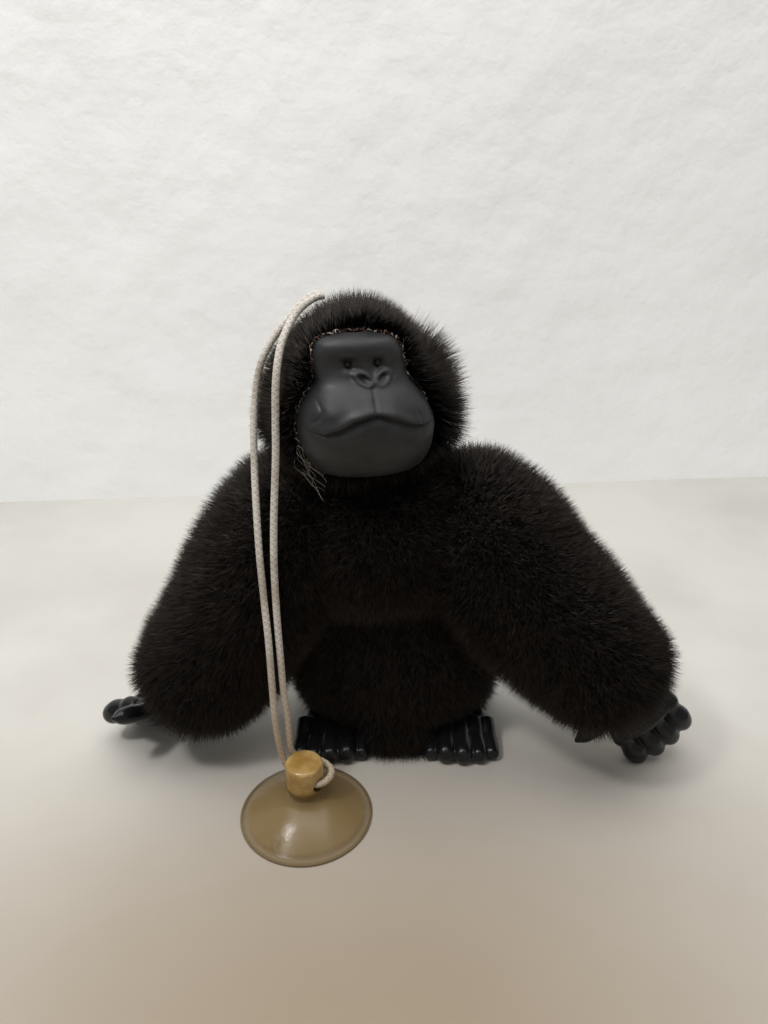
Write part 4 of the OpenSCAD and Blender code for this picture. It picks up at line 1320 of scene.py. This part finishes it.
@dataclass
class Arm(Stuffed):
    """One fur sleeve."""

    side: Side = Side.LEFT
    shoulder_half: float = 27.0
    shoulder_y: float = -6.0
    shoulder_z: float = 80.0
    shoulder_r: float = 23.5
    swell: float = 3.0
    sag: float = 2.0
    cuff_r: float = 21.5
    length: float = 66.0
    cuff_l: float = 15.5
    lean: float = 4.5
    wrist_l: float = 14.0
    droops: tuple[float, float] = (43.0, 57.1)
    reaches: tuple[float, float] = (25.0, 15.0)
    hands: tuple[Rows, Rows] = ((52, 26, 190, 1.5), (45, 0, 45, -2))

    def own(self, pair: tuple) -> "float | Rows":
        """This side's value of a pair."""
        return pair[0] if self.side is Side.LEFT else pair[1]

    def shoulder(self) -> np.ndarray:
        """The shoulder as on the left side, before the mirror."""
        return np.array([self.shoulder_half - self.side.value * self.lean, self.shoulder_y, self.shoulder_z])

    def place(self) -> np.ndarray:
        """From the sleeve's own frame, with +Z along it, to the toy's."""
        droop, reach = self.own(self.droops), self.own(self.reaches)
        return mirror(self.side) @ shift(*self.shoulder()) @ turn("Z", -reach) @ turn("Y", 90 + droop)

    def wrist(self) -> np.ndarray:
        """From the hand's own frame, with +Z pointing out of the sleeve, to the toy's."""
        droop, reach = math.radians(self.own(self.droops)), math.radians(self.own(self.reaches))
        level = math.cos(droop)
        along = np.array([level * math.cos(reach), -level * math.sin(reach), -math.sin(droop)])
        tilt, azimuth, roll, extra = self.own(self.hands)
        return (
            mirror(self.side)
            @ shift(*(self.shoulder() + self.length * along))
            @ turn("Z", azimuth)
            @ turn("Y", 90 + tilt)
            @ turn("Z", roll)
            @ shift(0, 0, self.wrist_l + extra)
        )

    def rings(self, grow: float, sides: int) -> np.ndarray:
        """Rings of the sleeve from the rounded shoulder to the rounded end."""
        rings = []
        around = np.arange(sides) * 2 * math.pi / sides
        quarter = np.radians(np.arange(0, 91, 10))
        shoulder = quarter - math.pi / 2
        rows = [(self.shoulder_r * math.sin(a), self.shoulder_r * math.cos(a), 0.0) for a in shoulder]
        for t in np.arange(0.06, 0.99, 0.055):
            taper = self.shoulder_r + (self.cuff_r - self.shoulder_r) * t
            radius = taper + self.swell * math.sin(math.pi * t**0.8)
            rows.append((self.length * t, radius, self.sag * math.sin(math.pi * t)))
        rows += [(self.length + self.cuff_l * math.sin(a), self.cuff_r * math.cos(a), 0.0) for a in quarter]
        for along, radius, sag in rows:
            r = max(radius + grow, 0.4)
            if along < 0:
                along -= grow * abs(along) / self.shoulder_r
            elif along > self.length:
                along += grow * (along - self.length) / self.cuff_l
            rings.append(np.stack([sag + r * np.cos(around), r * np.sin(around), np.full(sides, along)], 1))
        return np.array(rings)

    def build(self) -> list[bpy.types.Object]:
        """Makes the sleeve and its fur."""
        word = self.side.word
        place = self.place()
        skin = Skin().loft(self.rings(-self.pile_root, 52)).placed(place).object(f"{word}_arm_cloth")
        p, n = points_of(skin), normals_of(skin)
        set_points(skin, p + n * (0.8 * lumps(p, 24, 51 + self.side.value))[:, None])
        local = moved(np.linalg.inv(place), p)
        along = local[:, 2]
        inward = p[:, 0] * self.side.value
        cover = np.where((along < 14) & (inward < 18), 0.0, 1.0)
        cover *= np.where((along < 52) & (n[:, 0] * self.side.value < -0.45) & (inward < 34), 0.5, 1.0)
        pile = 1 + 0.12 * lumps(p, 15, 61 + self.side.value)
        cuff = np.clip((along - self.length) / 10, 0, 1)
        pile += 0.22 * cuff
        held = moved(np.linalg.inv(self.wrist()), p)
        by_hand = np.exp(-((np.hypot(held[:, 0] / 12.5, held[:, 1] / 9.5)) ** 4)) * (held[:, 2] > -16)
        pile *= 1 - 0.55 * by_hand
        cover *= 1 - 0.35 * by_hand
        down = place[:3, :3] @ np.array([0.0, 0.0, 1.0])
        comb = 0.3 * down + np.array([0, 0, -0.1])
        comb = comb + 0.5 * cuff[:, None] * unit(self.wrist()[:3, :3] @ np.array([0.0, 0.0, 1.0]))
        comb = comb + 0.16 * np.stack([lumps(p, 19, s) for s in (71, 72, 73)], 1)
        body = f"{word}_arm"
        nodes = [f"{body}_cover", f"{body}_stuffing"]
        seed = 300 if self.side is Side.LEFT else 350
        return self.finish_skin(skin, body, nodes, 0.85, cover, pile, comb, seed)


def stem_rings(radius: float, length: float, flange: float, flange_share: float) -> np.ndarray:
    """Rings of a stem along +Z, from 1 mm inside its moulding to the wider flange at its end."""
    around = np.arange(32) * 2 * math.pi / 32
    rows = [(-1.0, 0.2), (-1.0, 1), (0, 1), (length - flange, 1), (length - flange, flange_share)]
    rows += [(length, flange_share), (length, 0.2)]
    circle = np.stack([np.cos(around), np.sin(around)], 1)
    return np.array([np.column_stack([share * radius * circle, np.full(32, z)]) for z, share in rows])


def rounded_end(steps: int, share: float) -> np.ndarray:
    """Radius factors of a tube whose last share of length closes in a round tip."""
    t = np.clip((np.linspace(0, 1, steps + 1) - (1 - share)) / share, 0, 1)
    return np.sqrt(np.maximum(1 - t**2, 0.01))


def arc_path(
    start: np.ndarray, out: np.ndarray, down: np.ndarray, bend: float, length: float, steps: int
) -> np.ndarray:
    """A path that curls from one direction towards another."""
    t = np.linspace(0, 1, steps + 1)[:, None]
    a = np.radians(bend) * t / 2
    return start + length * t * (np.cos(a) * out + np.sin(a) * down)


@dataclass
class Hand:
    """One moulded hand with four curled fingers and a thumb."""

    arm: Arm
    palm_w: float = 24.0
    finger_l: float = 16.5
    palm_t: float = 11.0
    bend: float = 45.0
    stem_r: float = 5.5
    stem_l: float = 11.0
    flange: float = 1.8
    drawn_out: float = 1.8
    flange_share: float = 1.327

    def build(self) -> bpy.types.Object:
        """Makes the hand as one moulding with its stem."""
        bend = math.radians(self.bend)
        out = np.array([0, math.sin(bend), math.cos(bend)])
        down = np.array([0, -math.cos(bend), math.sin(bend)])
        knuckle = np.array([0.0, 1.0, 5.0])
        skin = Skin()
        knuckle_rows = [knuckle + 6 * out, knuckle + 7.5 * out]
        palm = smooth_rows(np.array([[0, 0, 0], [0, 0, 1.5], [0, 0.4, 4], [0, 2, 7.5], *knuckle_rows]), 15)
        half = smooth_rows([[share * self.palm_w / 2] for share in (0.62, 0.84, 0.96, 1, 0.9, 0.5)], 15)[:, 0]
        skin.loft(tube_rings(palm, half, 32, (1, 0, 0), self.palm_t / self.palm_w))
        pitch = self.palm_w / 4
        knobs = [[0.82], [0.98], [1.04], [0.84], [0.96], [1.08], [1.04], [1.0], [1.0]]
        for i in range(4):
            start = knuckle + np.array([(i - 1.5) * pitch, 0, 0]) + 1.5 * out
            reach = self.finger_l * (0.9 if i in (0, 3) else 1.0)
            path = arc_path(start, out, down, 50, reach, 24)
            shape = smooth_rows(knobs, 24)[:, 0] * pitch * 0.6 * rounded_end(24, pitch * 0.6 / reach)
            skin.loft(tube_rings(path, shape, 24, (1, 0, 0)))
        steps = np.linspace(0, 1, 13)
        thumb = np.array([[-self.palm_w * (0.25 + 0.7 * t), -0.5 - 1.5 * t, 3 + 1.2 * t] for t in steps])
        shape = smooth_rows([[2.6], [2.95], [2.7], [2.95], [2.9], [2.3], [0.5]], 12)[:, 0]
        skin.loft(tube_rings(thumb, shape, 20, (0, 1, 0)))
        skin.loft(stem_rings(self.stem_r, self.stem_l, self.flange, self.flange_share)[::-1] * (1, 1, -1))
        body = f"{self.arm.side.word}_hand"
        piece = skin.placed(self.arm.wrist() @ shift(0, 0, self.drawn_out)).object(f"{body}_moulding")
        remeshed(piece, 0.32, 3)
        dressed(piece, LIMB_VINYL, body)
        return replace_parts(piece, body)


@dataclass
class Foot:
    """One moulded foot with five toes."""

    side: Side
    stance: float = 43.4
    ankle_y: float = -8.0
    width: float = 25.0
    toe_reach: float = 22.9
    instep_z: float = 9.0
    sole_cut: float = 0.5
    toe_share: tuple[float, ...] = (0.17, 0.23, 0.23, 0.2, 0.17)
    instep: Rows = (
        (7, 0.25, 0.4), (6.2, 0.5, 0.7), (3.5, 0.66, 0.9), (-2, 0.86, 1), (-7, 0.97, 1), (-11, 0.98, 0.86),
        (-14.5, 0.94, 0.62),
    )
    stem_r: float = 5.5
    stem_l: float = 11.0
    flange: float = 1.8
    flange_share: float = 1.327

    def build(self) -> bpy.types.Object:
        """Makes the foot as one moulding, flat underneath."""
        a = np.arange(36) * 2 * math.pi / 36
        skin = Skin()
        rings = []
        for y, half, high in smooth_rows(self.instep, 24):
            lift = self.instep_z * 0.5 * high
            z = lift + 0.1 + lift * np.sign(np.sin(a)) * np.abs(np.sin(a)) ** 0.7
            rings.append(np.stack([half * self.width / 2 * np.cos(a), np.full(36, y), z], 1))
        skin.loft(np.array(rings))
        for i, share in enumerate(self.toe_share):
            x = self.width * (sum(self.toe_share[:i]) + share / 2 - 0.5)
            r = self.width * share * 0.58
            long = math.sqrt(self.toe_reach**2 - x * x) - 0.2 - 8
            t = np.linspace(0, 1, 27)
            height = r + 0.15 + (self.instep_z - 1.9 * r) * (1 - t) ** 1.4
            path = np.stack([x * (0.9 + 0.1 * t), -6 - (long + 2) * t, height], 1)
            plump = smooth_rows([[1.1], [1.08], [1.04], [1.03], [1.06], [1.06], [1.0], [1.0]], 26)[:, 0]
            shape = plump * r * rounded_end(26, r / (long + 2))
            skin.loft(tube_rings(path, shape, 24, (1, 0, 0)))
        stem = stem_rings(self.stem_r, self.stem_l, self.flange, self.flange_share)
        skin.loft(stem + (0, 0, self.instep_z))
        ankle = mirror(self.side) @ shift(self.stance / 2, self.ankle_y, -self.sole_cut)
        piece = skin.placed(ankle).object(f"{self.side.word}_foot_moulding")
        remeshed(piece, 0.3, 5)
        p = points_of(piece)
        p[:, 2] = np.maximum(p[:, 2], 0.02)
        set_points(piece, p)
        body = f"{self.side.word}_foot"
        dressed(piece, LIMB_VINYL, body)
        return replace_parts(piece, body)


# ---------------------------------------------------------------- loop and cup


@dataclass
class HangingLoop:
    """The braided loop from the crown through the lug of the suction cup, and back."""

    diameter: float = 2.1
    plait_pitch: float = 1.9
    cup_at: tuple[float, float] = (-27.6, -49.6)
    cup_d: float = 40.0
    cup_h: float = 8.5
    cup_wall: float = 2.2
    rim_t: float = 0.8
    rim_w: float = 1.6
    lug_d: float = 11.2
    lug_z: float = 20.3
    hole_d: float = 4.4
    hole_z: float = 14.3
    hole_turn: float = -35.0
    mark_z: float = 4.0
    mark_tilt: float = 34.0
    route: Rows = (
        (-21.2, -3.4, 147.4), (-24, -4, 147), (-27, -6, 145), (-30.6, -8.5, 141.2), (-34.4, -11.5, 137),
        (-37.8, -14, 131), (-39.8, -15, 123.4), (-40.5, -18.5, 114.4), (-40.5, -22, 105), (-40, -27, 95),
        (-39.2, -32.4, 81), (-38.3, -35.6, 67), (-37.4, -38.4, 55), (-36.8, -41.2, 40.5), (-36.2, -43.4, 30),
        (-35.5, -44.3, 23.5), (-34.6, -44.8, 18.4), (-33.5, -45.5, 15.4), (-31.2, -47.1, 14),
        (-28.6, -49.3, 14.1), (-25.9, -52.1, 14.5), (-22.9, -52.8, 14.8), (-20.4, -51.1, 15.2),
        (-19.7, -48.1, 15.5), (-21.3, -45.6, 15.7), (-24, -43.7, 15.7), (-27.6, -42.8, 15.8),
        (-30.5, -43.3, 16.8), (-32.2, -43.3, 19.8), (-32.6, -42.4, 24.5), (-32.9, -41.4, 30.5),
        (-33.8, -39.9, 39), (-34.3, -38.2, 49.5), (-34.8, -36.4, 62.5), (-35, -34.4, 76.5), (-34.6, -32, 90),
        (-33.9, -30, 101), (-33.3, -28.8, 110), (-33, -28, 118), (-32.4, -27.2, 128.5), (-31.4, -23.5, 136),
        (-29.6, -18.5, 141), (-27, -13.5, 144.6), (-23.5, -10, 147), (-20.4, -8.6, 147.8),
    )

    def build(self) -> list[bpy.types.Object]:
        """Makes the cord, the cup and the knot's finish."""
        cup = self.cup()
        path = smooth_rows(self.route, 1760)
        steps = np.linalg.norm(np.diff(path, axis=0), axis=1)
        along = np.concatenate([[0], np.cumsum(steps)])
        places = np.arange(0, along[-1], 0.24)
        path = np.stack([np.interp(places, along, path[:, i]) for i in range(3)], 1)
        sides = 20
        rings = tube_rings(path, [self.diameter / 2] * len(path), sides, (0, 1, 0))
        turn_ = np.arange(sides) / sides
        phase = places[:, None] / self.plait_pitch
        over = np.sin(2 * math.pi * (2 * turn_[None] + phase))
        under = np.sin(2 * math.pi * (2 * turn_[None] - phase))
        plait = np.maximum(np.abs(over) ** 0.7 * (over > under), np.abs(under) ** 0.7 * (under >= over))
        centre = path[:, None, :]
        rings = centre + (rings - centre) * (0.86 + 0.14 * plait)[..., None]
        cord = Skin().loft(rings).object("braided_cord")
        set_attribute(cord, "plait", np.concatenate([plait.ravel(), [0.5, 0.5]]))
        cord.data.materials.append(WARDROBE.get(CORD))
        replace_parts(cord, "hang_cord")
        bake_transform(cord)
        faces = len(cord.data.polygons)
        LOG.info("%s from head to torso: %d faces, %.1f mm long", cord.name, faces, places[-1])
        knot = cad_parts["cord_knot"]
        knot.data.materials.clear()
        knot.data.materials.append(WARDROBE.get(CORD))
        return [cord, cup]

    def cup_profile(self) -> np.ndarray:
        """Radius and height round the cup, from the lug's top to the middle of the hollow."""
        r, lug = self.cup_d / 2, self.lug_d / 2
        neck = lug - 0.5
        line = [(0.0, self.lug_z + 0.1), (lug * 0.5, self.lug_z)]
        edge = np.radians((10, 35, 60, 90))
        line += [(lug - 1 + math.sin(a), self.lug_z - 1.1 + math.cos(a)) for a in edge]
        line += [(lug, self.cup_h + 4), (lug - 0.05, self.cup_h + 2.6)]
        line += [(neck + 0.1, self.cup_h + 1.5), (neck, self.cup_h + 0.9)]
        for t in np.linspace(0, 1, 19):
            fall = 1 - t**1.45
            line.append((neck + 0.7 + (r - neck - 0.9) * t, self.rim_t + (self.cup_h - self.rim_t) * fall))
        line += [(r, self.rim_t * 0.75), (r, self.rim_t * 0.3), (r - 0.2, 0.02), (r - self.rim_w, 0.02)]
        for t in np.linspace(0.06, 0.97, 15):
            line.append(((r - self.rim_w) * (1 - t), (self.cup_h - self.cup_wall) * (1 - (1 - t) ** 2)))
        return np.array([*line, (0.0, self.cup_h - self.cup_wall)])

    def cup(self) -> bpy.types.Object:
        """The cup with the hole through its lug and a small moulding mark."""
        profile = self.cup_profile()
        sides = 112
        a = np.arange(sides) * 2 * math.pi / sides
        rings = np.array([
            np.stack([max(r, 0.05) * np.cos(a), max(r, 0.05) * np.sin(a), np.full(sides, z)], 1)
            for r, z in profile[::-1]
        ])
        box = np.array([[x, y, z] for z in (-0.3, 0.3) for y in (-1.25, 1.25) for x in (-1.75, 1.75)])
        box_sides = [(0, 2, 3, 1), (4, 5, 7, 6), (0, 1, 5, 4), (2, 6, 7, 3), (0, 4, 6, 2), (1, 3, 7, 5)]
        mark = turn("Z", MARK_TURN) @ shift(MARK_OUT, 0, self.mark_z) @ turn("Y", self.mark_tilt)
        moulding = Skin().loft(rings).add(moved(mark, box), box_sides)
        piece = moulding.placed(shift(*self.cup_at, 0)).object("cup_moulding")
        b = np.arange(40) * 2 * math.pi / 40
        hole = self.hole_d / 2
        bore = np.array([
            np.stack([np.full(40, x), hole * np.cos(b), hole * np.sin(b)], 1) for x in (-9.0, 0.0, 9.0)
        ])
        through = shift(*self.cup_at, self.hole_z) @ turn("Z", self.hole_turn)
        drill = Skin().loft(bore).placed(through).object("drill")
        cut = piece.modifiers.new("cut", "BOOLEAN")
        cut.operation = "DIFFERENCE"
        cut.solver = "EXACT"
        cut.object = drill
        apply_modifiers(piece)
        bpy.data.objects.remove(drill)
        piece.data.polygons.foreach_set("use_smooth", [True] * len(piece.data.polygons))
        edges = piece.modifiers.new("crisp", "EDGE_SPLIT")
        edges.split_angle = math.radians(40)
        apply_modifiers(piece)
        dressed(piece, CUP, "torso")
        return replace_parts(piece, "suction_cup")


# ---------------------------------------------------------------- studio


@dataclass
class Studio:
    """Camera, lamps, floor and wall."""

    eye: tuple[float, float, float] = (-0.004, -0.225, 0.1815)
    pitch: float = 24.6
    lens: float = 27.04
    wall_y: float = 0.205
    wall_turn: float = 5.0

    def camera(self) -> None:
        """Makes the camera, which looks along +Y and a little down."""
        data = bpy.data.cameras.new("camera")
        data.lens = self.lens
        data.sensor_width = 36.0
        data.clip_start = 0.01
        data.clip_end = 20.0
        camera = bpy.data.objects.new("camera", data)
        camera.location = self.eye
        camera.rotation_euler = (math.radians(90 - self.pitch), 0, 0)
        bpy.context.scene.collection.objects.link(camera)
        bpy.context.scene.camera = camera

    def lamps(self) -> None:
        """Makes a soft lamp overhead, a small one that gives the glints, and an even sky."""
        for name, place, aim, size, power in (
            ("overhead", (0.0, 0.05, 0.8), (0, 0, 0.05), 0.8, 5.4),
            ("window", (-0.30, -0.22, 0.62), (0, 0, 0.06), 0.09, 1.3),
        ):
            data = bpy.data.lights.new(name, "AREA")
            data.size = size
            data.energy = power
            lamp = bpy.data.objects.new(name, data)
            lamp.location = place
            lamp.rotation_euler = (Vector(aim) - Vector(place)).to_track_quat("-Z", "Y").to_euler()
            bpy.context.scene.collection.objects.link(lamp)
        world = bpy.data.worlds.new("sky")
        world.use_nodes = True
        graph = Graph(world.node_tree)
        even = graph.node("ShaderNodeBackground", {}, {"Color": (1.0, 0.99, 0.97, 1.0), "Strength": 0.26})
        seen = graph.node("ShaderNodeBackground", {}, {"Color": (0.82, 0.82, 0.80, 1.0), "Strength": 1.0})
        path = graph.put("ShaderNodeLightPath", {}, {})
        straight = Value(graph, path.outputs["Is Camera Ray"])
        both = graph.node("ShaderNodeMixShader", {}, {0: straight, 1: even, 2: seen})
        graph.put("ShaderNodeOutputWorld", {}, {"Surface": both})
        bpy.context.scene.world = world

    def floor(self) -> None:
        """Makes the pale stone floor, with a warm painted shadow in front of the toy."""

        def vary(graph: Graph) -> dict:
            """Cloudy pale stone with fine specks, and a warm painted shadow that darkens the floor towards
            the front and the middle.
            """
            cloud = graph.noise(9, 4)
            across, deep, _ = graph.parts(graph.place())
            # painted shadow: the floor in front of the toy is mixed towards dark warm brown, deepest at the
            # middle
            shadow_sideways = ((across + 0.01) ** 2.0) ** 0.5
            near = (1 - deep.smooth(-0.12, 0.03)) * (1 - shadow_sideways.smooth(0.01, 0.15) * 0.5)
            stone = graph.mix(cloud.smooth(0.35, 0.7), (0.70, 0.685, 0.64), (0.62, 0.595, 0.55))
            # the stone with the warm painted shadow mixed in
            warm = graph.mix(near * 0.9, stone, (0.33, 0.25, 0.165))
            speck = graph.noise(260, 2).smooth(0.74, 0.8)
            flecked = graph.mix(speck * 0.25, warm, (0.4, 0.37, 0.34))
            return {"Base Color": flecked, "Roughness": 0.38 + cloud * 0.2}

        corners = 1500 * np.array([[-1, -1, 0], [1, -1, 0], [1, 1, 0], [-1, 1, 0]])
        skin = Skin().add(corners, [(0, 1, 2, 3)])
        floor = skin.object("floor")
        floor.data.materials.append(shaded("pale_stone", {"Specular IOR Level": 0.25}, vary))

    def wall(self) -> None:
        """Makes the rough white wall behind, which doesn't show from its back."""
        material = bpy.data.materials.new("white_plaster")
        material.use_nodes = True
        graph = Graph(material.node_tree)
        rough = graph.noise(38, 5) * 0.7 + graph.noise(9, 3) * 1.6
        colour = graph.mix(graph.noise(5, 3).smooth(0.3, 0.7), (0.80, 0.80, 0.785), (0.74, 0.74, 0.725))
        plaster = graph.node(
            "ShaderNodeBsdfPrincipled",
            {},
            {
                "Base Color": colour,
                "Roughness": 0.85,
                "Normal": graph.bump(rough, 0.004),
                "Emission Color": (1.0, 0.995, 0.97, 1.0),
                "Emission Strength": 0.24,
            },
        )
        clear = graph.node("ShaderNodeBsdfTransparent", {}, {})
        back = graph.node("ShaderNodeNewGeometry", {}, {}, "Backfacing")
        one_sided = graph.node("ShaderNodeMixShader", {}, {0: back, 1: plaster, 2: clear})
        graph.put("ShaderNodeOutputMaterial", {}, {"Surface": one_sided})
        corners = np.array([[-1200, 0, 0], [1200, 0, 0], [1200, 0, 1200], [-1200, 0, 1200]])
        place = shift(0, self.wall_y / MM, 0) @ turn("Z", self.wall_turn)
        wall = Skin().add(corners, [(0, 1, 2, 3)]).placed(place).object("wall")
        wall.data.materials.append(material)

    def build(self) -> None:
        """Makes the whole setting."""
        self.camera()
        self.lamps()
        self.floor()
        self.wall()
        bpy.context.scene.view_settings.view_transform = "Standard"


# ---------------------------------------------------------------- the toy


def main() -> None:
    """Builds the toy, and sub-assembly by sub-assembly."""
    logging.basicConfig(level=logging.INFO, format="%(name)s: %(message)s")
    Studio().build()
    HangingLoop().build()
    Torso().build()
    Head().build()
    for side in Side:
        arm = Arm(side=side)
        arm.build()
        Hand(arm).build()
        Foot(side).build()


if __name__ == "__main__":
    main()
